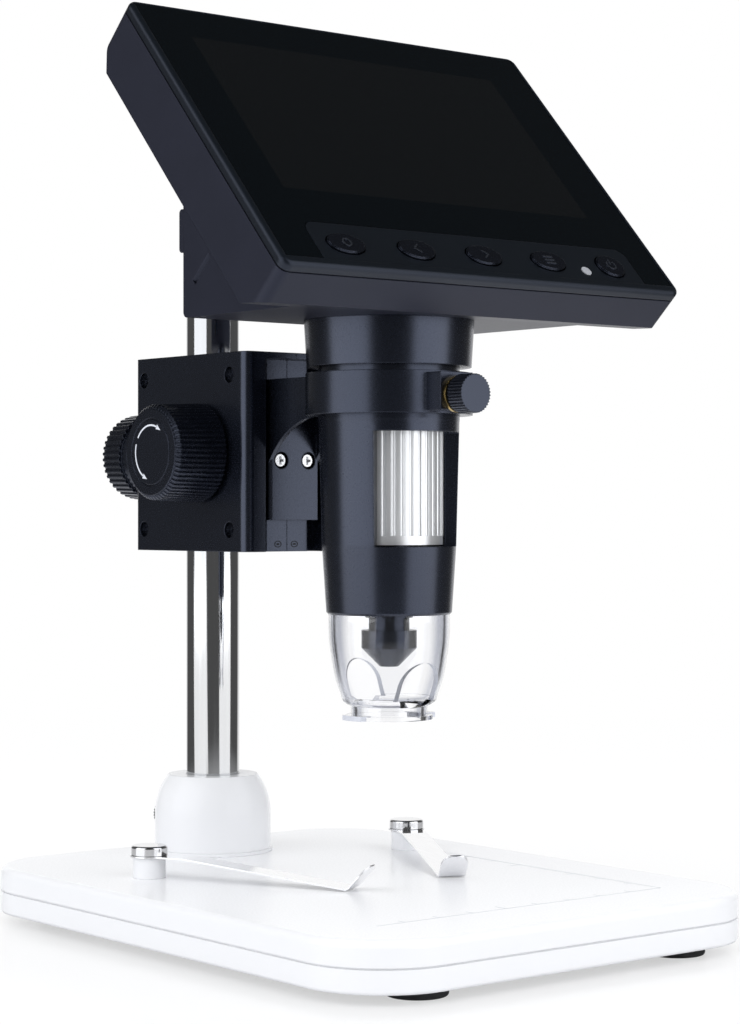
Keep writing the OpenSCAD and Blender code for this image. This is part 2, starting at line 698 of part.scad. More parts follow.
module arm() color("#1d1e21") difference() {
    union() {
        at_post(block_z) {
            // plate with softened front edges
            translate([0, 0, arm_top - arm_h]) linear_extrude(arm_h)
                polygon([[-arm_w / 2, -arm_back], [-arm_w / 2, 0.7 - arm_front], [0.7 - arm_w / 2, -arm_front],
                         [arm_w / 2 - 0.7, -arm_front], [arm_w / 2, 0.7 - arm_front], [arm_w / 2, -arm_back]]);
            difference() {
                rotate([90, 0, 90]) linear_extrude(arm_w, center = true) web_profile();
                // hollow under the web, open below
                translate([web_wall - arm_w / 2, -arm_reach, arm_top - web_h - 1])
                    cube([arm_w - 2 * web_wall, arm_reach - arm_front, web_h + 1 - web_roof]);
            }
        }
        at_barrel(ring_z) {
            cylinder(d = ring_d, h = ring_h);
            translate([-5, -ring_d / 2 - 4.8, 0.6]) cube([10, ring_d / 2, ring_h - 1.2]);
        }
    }
    at_barrel(ring_z - 1) cylinder(d = barrel_d + 2 * run_gap, h = ring_h + 2);
    at_barrel(ring_z + ring_h / 2 - 0.8) to_front() {
        cylinder(d = socket_stud_d + 2 * run_gap, h = ring_d);
        translate([0, 0, ring_d / 2 - 0.6]) cylinder(d = insert_d + 2 * seat_gap, h = 10);
    }
    for (x = [-1, 1]) at_post(block_z) translate([x * arm_screw_x, -arm_front, arm_screw_z]) to_rear() {
        translate([0, 0, -1]) cylinder(d = arm_screw_d + 2 * seat_gap, h = 6);
        translate([0, 0, -1]) cylinder(d = arm_screw_head + 1.2, h = arm_screw_seat + 1);
    }
}

module arm_screws() color("#d9dbde") for (x = [-1, 1]) at_post(block_z)
    translate([x * arm_screw_x, arm_screw_seat - arm_front, arm_screw_z]) to_front()
        cross_screw(arm_screw_head, 1.5, arm_screw_d, 7.2);

module ring_insert() color("#b08d3c") at_barrel(ring_z + ring_h / 2 - 0.8) to_front() difference() {
    union() {
        translate([0, 0, ring_d / 2 - 0.6 + seat_gap]) cylinder(d = insert_d, h = 5.6);
        translate([0, 0, ring_d / 2 + 4.8 + seat_gap / 2]) cylinder(d = thumb_d - 0.6, h = 0.9);
    }
    cylinder(d = socket_stud_d + 2 * run_gap, h = ring_d);
}

module ring_thumbscrew() color("#1b1c1f") at_barrel(ring_z + ring_h / 2 - 0.8) to_front()
    translate([0, 0, barrel_d / 2 + 2 * run_gap]) thumbscrew((ring_d - barrel_d) / 2 + 5.9, socket_stud_d);

// ---------- barrel ----------

barrel_bore = 27.2;
cap_seat_d = 28.6;
cap_seat_h = 6.4;
window_z = [16.6, 44.4];
wheel_z = [17, barrel_len - 26.5];
shelf_h = 2.6;
lens_travel = 3;
lens_top = barrel_len - 30.5;
lens_tip = cap_len / 2 - 0.1;
lens_bore = 8.4;
lens_eye_d = 3.4;
collar_gap = 1.5;
collar_z = ring_z + ring_h + collar_gap;
collar_h = shell_z - collar_z;
neck_end = 4;
collar_screw_places = [for (a = [90, 210, 330]) 16.4 * [cos(a), sin(a)]];

module barrel() color("#1d1e21") at_barrel(barrel_z) difference() {
    rotate_extrude() difference() {
        top = barrel_len - neck_end;
        polygon([[0, 0], [barrel_low_d / 2 - 0.5, 0], [barrel_low_d / 2, 0.5], [barrel_low_d / 2 + 0.36, 5.9],
                 [barrel_d / 2 - 0.83, 16.9], [barrel_d / 2 - 0.06, 46.8], [barrel_d / 2, 47.4],
                 [barrel_d / 2, top], [0, top]]);
        translate([0, -1]) square([cap_seat_d / 2, cap_seat_h + 1]);
        translate([0, -1]) square([barrel_bore / 2, wheel_z[0] - shelf_h - 0.2 + 1]);
        translate([0, wheel_z[0] - 0.2]) square([barrel_bore / 2, barrel_len]);
        square([lens_d / 2 + 0.3, barrel_len]);
    }
    translate([0, 0, window_z[0]]) linear_extrude(window_z[1] - window_z[0])
        polygon([[0, 0], 40 * [-sin(window_turn), -cos(window_turn)], [0, -60],
                 40 * [sin(window_turn), -cos(window_turn)]]);
}

module collar() color("#1d1e21") at_barrel(collar_z) difference() {
    cylinder(d1 = ring_d - 0.6, d2 = ring_d + 0.8, h = collar_h);
    translate([0, 0, -1]) cylinder(d = barrel_d + 2 * seat_gap, h = collar_h - neck_end + 1 + seat_gap);
    translate([0, 0, -1]) cylinder(d = barrel_bore, h = collar_h + 2);
    for (p = collar_screw_places) translate([p[0], p[1], collar_h - 3.4])
        cylinder(d = screw_d + 2 * run_gap, h = 4);
}

module focus_wheel() color("#dcdee2") at_barrel(barrel_z + wheel_z[0]) difference() {
    wheel_h = wheel_z[1] - wheel_z[0];
    cylinder(d = wheel_d, h = wheel_h);
    for (i = [0 : wheel_ribs - 1]) rotate((i + 0.5) * 360 / wheel_ribs)
        translate([wheel_d / 2 + 0.15, 0, 2.2]) cylinder(r = 0.62, h = wheel_h, $fn = 16);
    translate([0, 0, -1]) cylinder(d = lens_d + 2 * run_gap, h = wheel_h + 2);
}

module lens_tube() color("#2a2b2f") at_barrel(barrel_z) difference() {
    r = lens_d / 2;
    rotate_extrude() polygon([[0, -lens_tip], [lens_eye_d / 2 + 0.6, -lens_tip], [r - 0.2, 4.5 - lens_tip],
        [r - 0.2, 8.8 - lens_tip], [r - 2, 8.8 - lens_tip], [r - 2, 11.9 - lens_tip], [r - 1.15, 11.9 - lens_tip],
        [r - 1.15, 20.1 - lens_tip], [r, 20.1 - lens_tip], [r, lens_top], [0, lens_top]]);
    translate([0, 0, -lens_tip - 1]) cylinder(d = lens_eye_d, h = lens_top + lens_tip + 2);
    translate([0, 0, 6.7 - lens_tip]) cylinder(d = lens_bore, h = lens_top + lens_tip);
}

module lens_glass() color("#9fb6c8") at_barrel(barrel_z - lens_tip) {
    translate([0, 0, 0.5]) cylinder(d = lens_eye_d - 2 * seat_gap, h = 1.8);
    translate([0, 0, 6.9]) cylinder(d = lens_bore - 2 * seat_gap, h = 2.4);
    translate([0, 0, 16.7]) cylinder(d = lens_bore - 2 * seat_gap, h = 1.2);
}

module led_ring() color("#f2efe0") at_barrel(barrel_z) {
    difference() {
        translate([0, 0, 1.8]) cylinder(d = cap_seat_d - 2 * cap_wall - 1, h = 1.2);
        translate([0, 0, 1]) cylinder(r = 6.2, h = 3);
    }
    for (i = [0 : 7]) rotate(i * 45) translate([9.2, 0, 0.4]) rotate_extrude() {
        square([1.5, 1.4]);
        square([1.1, 0.9]);
    }
}

module sensor_board() color("#2f5d3a") at_barrel(barrel_z + wheel_z[1] + slide_gap) {
    difference() {
        cylinder(d = barrel_bore - 2 * seat_gap, h = 2.4);
        translate([0, 0, -1]) cylinder(d = lens_d + 1.4, h = 5);
    }
    translate([0, 0, 2.4]) cylinder(d = barrel_bore - 2 * seat_gap, h = 1.2);
    translate([-3, -3, 1.6]) cube([6, 6, 0.8]);
}

cap_neck_d = 18.8;
// outline of the clear cap: radius against height below the barrel
function cap_outline(inset) = [[14.9 - inset, 0], [14.9 - inset, -4.6], [14.15 - inset, -11],
    [13.3 - inset, -15.6], [11.9 - inset, -19.7], [11.4 - inset, -21.3 + inset / 3],
    [cap_neck_d / 2 - inset, -22.4 + inset / 2]];

module clear_cap() color("#e8f0f8", 0.4) at_barrel(barrel_z) difference() {
    union() {
        rotate_extrude() difference() {
            union() {
                polygon(concat([[0, 0]], cap_outline(0), [[cap_neck_d / 2, -cap_len], [0, -cap_len]]));
                square([cap_seat_d / 2 - seat_gap, cap_seat_h - 0.2]);
                translate([0, -cap_len]) square([cap_foot_d / 2, 1]);
            }
            polygon(concat([[0, 0]], cap_outline(cap_wall),
                [[cap_neck_d / 2 - cap_wall, -cap_len - 1], [0, -cap_len - 1]]));
            translate([0, -eps]) square([cap_seat_d / 2 - cap_wall, cap_seat_h + 1]);
        }
        // two finger tabs on the foot
        for (a = [0, 180]) rotate(a) translate([0, 0, -cap_len]) difference() {
            intersection() {
                cylinder(r = 12.25, h = 1.2);
                translate([0, -3.6, 0]) cube([14, 7.2, 2]);
            }
            translate([0, 0, -1]) cylinder(r = 9, h = 4);
        }
    }
    // arched openings to the front and the rear
    translate([0, 0, -17]) rotate([90, 0, 0]) linear_extrude(40, center = true) {
        circle(r = 5.6);
        translate([-5.6, -3.6]) square([11.2, 3.6]);
    }
}

// ---------- display head ----------

head_y = barrel_y - head_fwd;
module at_head() translate([head_side, head_y, shell_z + head_rise]) rotate([head_tilt, 0, 0]) children();
active_x = -0.8;
active_y = 7.5;
glass_w = head_w - 2.8;
glass_low = 2.6;
glass_top = 0.9;
glass_t = 1.5;
glass_sink = 0.25;
panel_t = 3;
panel_rim = 5;
chamfer = 6;
strip_w = head_w - 23.2;
strip_h = 13;
strip_x = 0.7;
strip_low = 2.2 - head_h / 2;
key_y = 8.3 - head_h / 2;
key_pitch = (strip_w - 17.4) / 4;
key_x = [for (i = [-2 : 2]) strip_x + 0.2 + i * key_pitch];
led_x = strip_x + 32.1;
led_y = key_y - 2.3;
led_d = 2.8;
fifth_key_w = key_w - 1.9;
fifth_key_h = key_h + 0.9;
// the screen keeps its size where the housing has room for it
shown_w = min(screen_w, head_w - 28.2);
shown_h = min(screen_h, head_h - 38.1);
board_w = shown_w + 5;
board_h = shown_h + 2.1;

// side view of the housing: upwards along the face, and depth behind it
module housing_profile(inset, front) {
    t = head_h / 2 - inset;
    d = head_t - inset;
    c = chamfer - 0.586 * inset;
    polygon([[-t, -front], [-t, c - d], [c - t, -d], [t - c, -d], [t, c - d], [t, -front]]);
}

module housing_block(inset, front) intersection() {
    rotate([90, 0, 90]) linear_extrude(head_w - 2 * inset, center = true) housing_profile(inset, front);
    translate([0, 0, -2 * head_t]) linear_extrude(2 * head_t)
        rounded_rect(head_w - 2 * inset, head_h - 2 * inset, max(head_r - inset, 0.4));
}

// where a plane at depth d behind the display face meets a height z or a distance y
function back_y(z, d) = -head_fwd + (d + (z - head_rise) * cos(head_tilt)) / sin(head_tilt);
function back_z(y, d) = head_rise + ((y + head_fwd) * sin(head_tilt) - d) / cos(head_tilt);

module wedge(inset, sunk) {
    rear = wedge_rear - inset;
    e = max(wedge_edge - inset, 0.3);
    at_barrel(shell_z) rotate([90, 0, 90]) linear_extrude(wedge_w - 2 * inset, center = true) {
        polygon([[back_y(inset, head_t - sunk), inset], [rear - e, inset], [rear, inset + e],
                 [rear, back_z(rear, head_t - sunk)]]);
        translate([rear - e, inset + e]) circle(e);
    }
}

battery_d = 18.2;
battery_len = 65;
battery_at = [-6, wedge_rear - head_wall - battery_d / 2 - 0.4, 14];
cover_z = [15.8, 44];
cover_w = wedge_w - 14;
cover_t = 2;
cover_band_h = 10.5;
cover_screw_z = cover_z[0] + cover_band_h / 2;
grip_place = [-6.2, 19.6];
grip_len = 8.8;
case_screw_places = [for (x = [-1, 1], y = [-1, 1]) [x * (head_w / 2 - 5.4), y * (head_h / 2 - 10)]];
board_post_places = [for (x = [-1, 1], y = [-1, 1]) [x * (board_w / 2 - 3.4), active_y + y * (board_h / 2 - 5)]];
board_d = 8;
boss_h = 5.6;
key_board_top = -6.2;
usb_at = [0, 16];
card_at = [10.4, 24.5];
wheel_at = [wedge_w / 2 - 6.2, 12, 8.4];
dimmer_d = 15;
dimmer_t = 2.4;
dimmer_slot = 2 * sqrt(pow(dimmer_d / 2, 2) - pow(wedge_w / 2 - head_wall - wheel_at[0], 2)) + 1;
switch_at = [-24, 6];
switch_travel = 4;

module rear_shell() color("#1d1e21") {
    difference() {
        union() {
            at_head() housing_block(0, bezel_t);
            wedge(0, 1);
        }
        at_head() translate([0, 0, eps]) housing_block(head_wall, bezel_t - 1);
        wedge(head_wall, head_wall + 1.5);
        at_barrel(shell_z) {
            // cable way and screws into the collar
            translate([0, 0, -1]) cylinder(d = 20, h = head_wall + 2);
            for (p = collar_screw_places) translate([p[0], p[1], -1])
                cylinder(d = screw_d + 2 * seat_gap, h = head_wall + 2);
            // battery opening under the rear cover
            translate([-cover_w / 2 + 7, wedge_rear - head_wall - 1, cover_z[0] + 3])
                cube([cover_w - 14, head_wall + 2, cover_z[1] - cover_z[0] - 8]);
            for (x = [-1, 1]) translate([x * (cover_w / 2 - 3.5), wedge_rear + 1, cover_screw_z])
                to_front() cylinder(d = 2 + 2 * run_gap, h = 6);
            // power switch slot
            translate([switch_at[0] - 2.7, wedge_rear - head_wall - 1, switch_at[1] - 1.7])
                cube([5.4 + switch_travel, head_wall + 2, 3.4]);
            // socket, card slot and dimmer slot on the right side
            translate([wedge_w / 2 - head_wall - 1, usb_at[0] - 4, usb_at[1] - 1.5])
                cube([head_wall + 2, 8, 3]);
            translate([wedge_w / 2 - head_wall - 1, card_at[0] - 6.2, card_at[1] - 1.1])
                cube([head_wall + 2, 12.4, 2.2]);
            translate([wedge_w / 2 - head_wall - 1, wheel_at[1] - dimmer_slot / 2, wheel_at[2] - dimmer_t / 2 - 0.3])
                cube([head_wall + 2, dimmer_slot, dimmer_t + 0.6]);
        }
        at_head() {
            // case screws from behind
            for (p = case_screw_places) translate([p[0], p[1], -head_t - 1]) {
                cylinder(d = screw_d + 2 * seat_gap, h = 12);
                cylinder(d = 5.2, h = 2.2);
            }
            // grip groove in the left side of the wedge
            translate([-wedge_w / 2 - 0.3 - head_side, grip_place[0], -head_t - grip_place[1]])
                rotate([0, 0, 45]) cube([1.6, 1.6, grip_len], center = true);
        }
    }
    // pillars for the case screws and the main board
    at_head() {
        for (p = case_screw_places) translate([p[0], p[1], 1 - head_t]) difference() {
            translate([0, 0, 0.6]) cylinder(d = 7, h = head_t - bezel_t - boss_h - 1.7);
            translate([0, 0, -1]) cylinder(d = screw_d + 2 * seat_gap, h = head_t);
            translate([0, 0, -2]) cylinder(d = 5.2, h = 3.2);
        }
        for (p = board_post_places) translate([p[0], p[1], 0.5 - head_t])
            cylinder(d = 4, h = head_t - board_d - 1.6 - 0.6);
    }
    // axle of the dimmer wheel
    at_barrel(shell_z) translate([wheel_at[0], wheel_at[1], head_wall - 0.5]) {
        cylinder(d = 6, h = wheel_at[2] - dimmer_t / 2 - slide_gap - head_wall + 0.5);
        cylinder(d = 3, h = wheel_at[2] + dimmer_t / 2 - head_wall + 0.9);
    }
    // cradle ribs under the battery
    at_barrel(shell_z) for (x = [-30, 20]) difference() {
        translate([x, battery_at[1] - 7, head_wall - 0.5]) cube([2, 14, battery_at[2] - head_wall - 4]);
        translate([x - 1, battery_at[1], battery_at[2]]) to_right() cylinder(d = battery_d + 0.4, h = 4);
    }
}

module key_outline(i, grow) {
    w = i == 4 ? fifth_key_w : key_w;
    h = i == 4 ? fifth_key_h : key_h;
    oval(w / 2 + grow, h / 2 + grow);
}

module bezel() color("#141518") at_head() difference() {
    union() {
        difference() {
            union() {
                translate([0, 0, seam - bezel_t]) soft_plate(head_w, head_h, head_r, bezel_t - seam, 1.2);
                translate([0, 0, -bezel_t]) linear_extrude(bezel_t / 2)
                    rounded_rect(head_w - 2 * seam, head_h - 2 * seam, head_r - seam);
            }
            // seat of the glass
            translate([-glass_w / 2, glass_low - head_h / 2, -glass_sink - glass_t - 0.05])
                cube([glass_w, head_h - glass_low - glass_top, bezel_t]);
            // opening in front of the screen
            translate([active_x - shown_w / 2 - 1, active_y - shown_h / 2 - 1, -bezel_t - 1])
                cube([shown_w + 2, shown_h + 2, bezel_t + 2]);
        }
        // raised strip that carries the keys
        translate([strip_x, strip_low + strip_h / 2, -bezel_t + 0.2]) linear_extrude(bezel_t - 0.2 - glass_sink)
            strip_outline(0);
        // bosses for the case screws
        for (p = case_screw_places) translate([p[0], p[1], -bezel_t - boss_h]) cylinder(d = 5.4, h = boss_h + 0.4);
        // posts that hold the key board
        for (i = [0, 2]) translate([key_x[i] + key_pitch / 2, key_y, key_board_top + 0.1])
            cylinder(d = 3, h = -key_board_top - bezel_t);
        // locating rim inside the rear shell
        translate([0, 0, -bezel_t - 1.6]) linear_extrude(2) difference() {
            rounded_rect(head_w - 2 * head_wall - 0.4, head_h - 2 * head_wall - 0.4, 1.6);
            rounded_rect(head_w - 2 * head_wall - 2.8, head_h - 2 * head_wall - 2.8, 1.2);
        }
    }
    for (i = [0 : 4]) translate([key_x[i], key_y, -bezel_t - 1]) linear_extrude(bezel_t + 3)
        key_outline(i, 0.25);
    translate([led_x, led_y, -bezel_t - 1]) cylinder(d = led_d + 2 * seat_gap, h = bezel_t + 3);
    for (p = case_screw_places) translate([p[0], p[1], -bezel_t - 7])
        cylinder(d = screw_d + 2 * run_gap, h = 7.5);
}

// strip outline with its two upper corners rounded
module strip_outline(grow) {
    w = strip_w + 2 * grow;
    h = strip_h + 2 * grow;
    r = 3;
    translate([0, -r / 2]) square([w, h - r], center = true);
    square([w - 2 * r, h], center = true);
    for (x = [-1, 1]) translate([x * (w / 2 - r), h / 2 - r]) circle(r);
}

module screen_glass() color("#08090b") at_head() difference() {
    translate([0, (glass_low - glass_top) / 2, -glass_sink - glass_t]) linear_extrude(glass_t)
        rounded_rect(glass_w - 0.2, head_h - glass_low - glass_top - 0.2, 0.8);
    translate([strip_x, strip_low + strip_h / 2, -bezel_t]) linear_extrude(bezel_t + 1) {
        strip_outline(0.1);
        translate([0, -strip_h / 2]) square([strip_w + 0.2, 4], center = true);
    }
}

module lcd_panel() color("#23262b") at_head()
    translate([active_x, active_y, -bezel_t - 0.1 - panel_t]) linear_extrude(panel_t)
        square([shown_w + 2 * panel_rim, shown_h + 2 * panel_rim], center = true);

module main_board() color("#2c5a3b") at_head() {
    translate([0, active_y, -board_d - 1.6]) linear_extrude(1.6) square([board_w, board_h], center = true);
    translate([-18, 10, -board_d - 1.6 - 1.4]) cube([14, 14, 1.4]);
    translate([12, 14, -board_d - 1.6 - 1]) cube([10, 10, 1]);
    translate([-6, -7.5, -board_d - 1.6 - 1.2]) cube([12, 4, 1.2]);
}

module key_board() color("#2c5a3b") at_head() translate([0, key_y, key_board_top]) {
    translate([strip_x, 0, -1.4]) linear_extrude(1.4) square([4 * key_pitch + 12, 12], center = true);
    for (x = key_x) translate([x, 0, 0]) {
        linear_extrude(1.4) square([6, 6], center = true);
        cylinder(d = 3, h = 1.9);
    }
}

module battery() color("#3f7fb5") at_barrel(shell_z) translate(battery_at) to_right() {
    translate([0, 0, -battery_len / 2]) cylinder(d = battery_d, h = battery_len - 1);
    translate([0, 0, battery_len / 2 - 1.2]) cylinder(d = 6, h = 1.2);
}

module camera_ribbon() color("#c98f3a") at_barrel() {
    start = barrel_z + wheel_z[1] + slide_gap + 3.6;
    turn = shell_z + back_z(-3.4, board_d + 1.6 + 1.2 + 0.5);
    rotate([90, 0, 90]) linear_extrude(10, center = true)
        strip([[-3.4, start], [-3.4, turn], [-3.4 + 3 * cos(head_tilt), turn + 3 * sin(head_tilt)]], 0.3);
}

module head_screws() color("#6d7076") {
    at_barrel(shell_z + head_wall) for (p = collar_screw_places) translate(p)
        cross_screw(4.6, 1.6, screw_d, head_wall + 3.1);
    at_head() for (p = case_screw_places) translate([p[0], p[1], 1.2 - head_t])
        mirror([0, 0, 1]) cross_screw(4.8, 1.1, screw_d, 13.2);
    at_barrel(shell_z) for (x = [-1, 1])
        translate([x * (cover_w / 2 - 3.5), wedge_rear + 0.9, cover_screw_z])
            to_rear() cross_screw(3.6, 1, 2, 4);
}

module rear_cover() color("#1d1e21") at_barrel(shell_z + cover_z[0]) difference() {
    cover_h = cover_z[1] - cover_z[0];
    union() {
        translate([0, wedge_rear + cover_t, cover_h / 2]) rotate([90, 0, 0])
            linear_extrude(cover_t) rounded_rect(cover_w, cover_h, 2);
        // band across the whole wedge, its outer edges rounded
        translate([0, wedge_rear, 0]) rotate([90, 0, 90]) linear_extrude(wedge_w - 0.4, center = true) {
            square([cover_t / 2, cover_band_h]);
            translate([0, cover_t / 2]) square([cover_t, cover_band_h - cover_t]);
            for (z = [cover_t / 2, cover_band_h - cover_t / 2]) translate([cover_t / 2, z]) circle(d = cover_t);
        }
    }
    for (x = [-1, 1]) translate([x * (cover_w / 2 - 3.5), wedge_rear - 1, cover_band_h / 2]) to_rear() {
        cylinder(d = 2 + 2 * seat_gap, h = 6);
        translate([0, 0, 1.85]) cylinder(d = 4, h = 4);
    }
    // grip ribs
    for (i = [0 : 4]) translate([0, wedge_rear + cover_t, cover_h - 5 - i * 1.6])
        cube([16, 0.8, 0.7], center = true);
}

module usb_socket() color("#c9ccd0") at_barrel(shell_z)
    translate([wedge_w / 2 - 6, usb_at[0], usb_at[1]]) rotate([90, 0, 90]) linear_extrude(5.8) difference() {
        square([7.6, 2.7], center = true);
        square([6.8, 1.9], center = true);
    }

module card_slot() color("#c9ccd0") at_barrel(shell_z)
    translate([wedge_w / 2 - 14, card_at[0], card_at[1]]) rotate([90, 0, 90]) linear_extrude(13.6) difference() {
        square([12, 1.9], center = true);
        square([11.2, 1.1], center = true);
    }

module dimmer_wheel() color("#1b1c1f") at_barrel(shell_z)
    translate([wheel_at[0], wheel_at[1], wheel_at[2] - dimmer_t / 2]) difference() {
        fluted_grip(dimmer_d, dimmer_d, dimmer_t, 30, 0.4);
        translate([0, 0, -1]) cylinder(d = 3 + 2 * run_gap, h = dimmer_t + 2);
    }

module power_switch() color("#2a2b2f") at_barrel(shell_z) translate([switch_at[0], wedge_rear, switch_at[1]]) {
    translate([-2.5, -head_wall - 1, -1.5]) cube([5, head_wall + 2.4, 3]);
    translate([-3.5, -head_wall - 1.3, -2.4]) cube([7, 1.1, 4.8]);
    for (x = [-1.4, 0, 1.4]) translate([x - 0.25, 1.2, -1.5]) cube([0.5, 0.7, 3]);
}

module power_led() color("#eef3f5") at_head()
    translate([led_x, led_y, -6]) cylinder(d = led_d, h = 6 - glass_sink + 0.15);

// a key: cap through the bezel, flange behind it
module key(i) color("#1b1c1f") at_head() translate([key_x[i], key_y, 0]) {
    translate([0, 0, -bezel_t - 0.2]) linear_extrude(bezel_t + 0.35) key_outline(i, 0);
    linear_extrude(0.4) key_outline(i, -0.3);
    translate([0, 0, -bezel_t - 0.8]) linear_extrude(0.7) key_outline(i, 0.7);
}
module key_ok() key(0);
module key_left() key(1);
module key_right() key(2);
module key_menu() key(3);
module key_power() key(4);

base_shell();
base_tray();
base_screws();
rubber_feet();
post_socket();
socket_insert();
clip_posts();
socket_thumbscrew();
clip_left();
clip_rivet_left();
clip_right();
clip_rivet_right();
post_tube();
post_cap();
block_left();
block_right();
block_screws();
clamp_nut();
clamp_pad();
shaft_bush();
clamp_knob();
clamp_stud();
pinion_shaft();
focus_knob();
lock_knob();
lock_stud();
carriage();
rack();
arm();
arm_screws();
ring_insert();
ring_thumbscrew();
collar();
barrel();
led_ring();
sensor_board();
clear_cap();
rear_shell();
bezel();
screen_glass();
lcd_panel();
main_board();
battery();
head_screws();
rear_cover();
usb_socket();
card_slot();
camera_ribbon();
power_led();
key_board();
focus_wheel();
lens_tube();
lens_glass();
key_ok();
key_left();
key_right();
key_menu();
key_power();
power_switch();
dimmer_wheel();
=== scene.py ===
"""Dresses the desk microscope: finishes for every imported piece, the clear cap, printed and
moulded marks, and a plain white studio with its camera. Lengths are in metres."""

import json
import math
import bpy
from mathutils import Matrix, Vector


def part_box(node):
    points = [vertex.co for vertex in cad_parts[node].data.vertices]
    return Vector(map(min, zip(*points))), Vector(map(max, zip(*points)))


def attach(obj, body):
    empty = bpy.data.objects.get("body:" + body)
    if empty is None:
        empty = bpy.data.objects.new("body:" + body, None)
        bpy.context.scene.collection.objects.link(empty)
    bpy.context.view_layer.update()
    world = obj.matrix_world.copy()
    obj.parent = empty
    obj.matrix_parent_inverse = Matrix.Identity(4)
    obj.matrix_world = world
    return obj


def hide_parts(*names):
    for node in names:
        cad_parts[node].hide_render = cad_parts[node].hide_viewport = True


bl_info = {
    "name": "Desk microscope finish",
    "version": (1, 0, 0),
    "blender": (4, 5, 0),
    "location": "3D View > Sidebar > Microscope",
    "description": "Finishes, small marks and studio for a display microscope on a post stand",
    "category": "Object",
}

import bpy
from mathutils import Matrix, Vector

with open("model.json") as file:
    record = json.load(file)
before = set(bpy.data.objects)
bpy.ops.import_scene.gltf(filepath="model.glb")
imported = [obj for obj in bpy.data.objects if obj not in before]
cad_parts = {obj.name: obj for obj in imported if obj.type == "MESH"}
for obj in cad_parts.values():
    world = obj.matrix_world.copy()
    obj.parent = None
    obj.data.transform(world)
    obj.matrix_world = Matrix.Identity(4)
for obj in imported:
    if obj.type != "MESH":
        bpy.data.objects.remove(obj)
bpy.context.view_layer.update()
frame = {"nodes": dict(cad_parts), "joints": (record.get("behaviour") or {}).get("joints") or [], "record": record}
NODES = frame["nodes"]
JOINTS = {joint["name"]: joint for joint in frame["joints"]}
MM = 0.001


# ---------- what the frame says about places ----------

def middle(node):
    """Centre of a node's box."""
    low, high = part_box(node)
    return (low + high) / 2


def reach(node, direction):
    """How far a node reaches along a direction, measured from the frame's origin."""
    return max(vertex.co.dot(direction) for vertex in NODES[node].data.vertices)


FACE_NORMAL = -Vector(JOINTS["key_ok_press"]["axis"]).normalized()
FACE_UP = FACE_NORMAL.cross(Vector((1, 0, 0))).normalized()
FACE_TILT = math.atan2(FACE_UP.z, FACE_UP.y)
BARREL_AXIS = middle("barrel")
# the lit part of the display, brought forward to its glass
PANEL_MIDDLE = middle("lcd_panel")
TO_GLASS = (middle("screen_glass") - PANEL_MIDDLE).dot(FACE_NORMAL)
ACTIVE_MIDDLE = PANEL_MIDDLE + FACE_NORMAL * TO_GLASS
ACTIVE_SIZE = (95.04 * MM, 53.86 * MM)


def on_face(point, height):
    """Matrix that takes flat drawings to the display face, at a height along its normal."""
    turn = Matrix((Vector((1, 0, 0)), FACE_UP, FACE_NORMAL)).transposed().to_4x4()
    foot = point + FACE_NORMAL * (height - point.dot(FACE_NORMAL))
    return Matrix.Translation(foot) @ turn


# ---------- settings a user would change ----------

def colour(label, about, value):
    """Colour property with the usual limits."""
    return bpy.props.FloatVectorProperty(name=label, description=about, default=value,
                                         size=3, min=0, max=1, subtype="COLOR")


def length(label, about, value):
    """Length property in metres."""
    return bpy.props.FloatProperty(name=label, description=about, default=value, min=0,
                                   subtype="DISTANCE", unit="LENGTH", precision=5)


def amount(label, about, value):
    """Plain number that can't be negative."""
    return bpy.props.FloatProperty(name=label, description=about, default=value, min=0)


class FinishSettings(bpy.types.PropertyGroup):
    """Colours and edge softness of the mouldings and metals."""
    black: colour("Black", "Colour of the black mouldings", (0.0028, 0.0036, 0.0060))
    housing: colour("Housing", "Colour of the display housing", (0.0130, 0.0138, 0.0225))
    sheen: colour("Sheen", "Tint of the light that black mouldings mirror", (0.66, 0.74, 1.0))
    white: colour("White", "Colour of the base and its socket", (0.88, 0.885, 0.905))
    steel: colour("Steel", "Colour of the polished post", (0.62, 0.625, 0.635))
    silver: colour("Silver", "Colour of the focus wheel", (0.93, 0.94, 0.96))
    edge: length("Edge", "Softness of moulded edges", 0.35 * MM)
    grain: length("Grain", "Size of the grain in the black mouldings", 0.28 * MM)


class CapSettings(bpy.types.PropertyGroup):
    """Wall and colours of the clear cap."""
    wall: length("Wall", "Thickness of the clear wall", 1.5 * MM)
    tint: colour("Tint", "Tint of the clear plastic", (0.975, 0.978, 0.990))
    edge: colour("Cut edge", "Colour of the cut edges", (0.68, 0.70, 0.77))
    # painted shade: the grey given to the cap's walls where they turn away from the view
    slant_shade: colour("Slant tint", "Tint of walls seen at a slant", (0.50, 0.52, 0.60))


class MarkSettings(bpy.types.PropertyGroup):
    """Printed and moulded marks."""
    line: length("Line", "Width of the printed ruler lines", 0.22 * MM)
    step: length("Step", "Distance between two ruler ticks", 10 * MM)
    tick: length("Tick", "Length of a ruler tick", 2.4 * MM)
    stroke: length("Stroke", "Width of the strokes on the keys", 0.42 * MM)
    print_colour: colour("Ruler ink", "Colour of the ruler's ink", (0.60, 0.62, 0.66))


class StudioSettings(bpy.types.PropertyGroup):
    """Light, floor and camera of the studio."""
    key: amount("Side light", "Radiance of the side panels", 1.45)
    top: amount("Top light", "Radiance of the ceiling", 0.68)
    fill: amount("Fill", "Even light from all round", 0.54)
    mirrored: amount("Mirrored room", "Brightness of the room in mirrors", 0.10)
    glassy: amount("Room through glass", "Brightness of the room seen bent by glass", 0.40)
    floor: colour("Floor", "Colour of the floor", (0.90, 0.90, 0.91))
    lens: amount("Lens", "Focal length in millimetres", 87.09)


SETTINGS = {
    "scope_finish": FinishSettings,
    "scope_cap": CapSettings,
    "scope_marks": MarkSettings,
    "scope_studio": StudioSettings,
}


# ---------- node helpers ----------

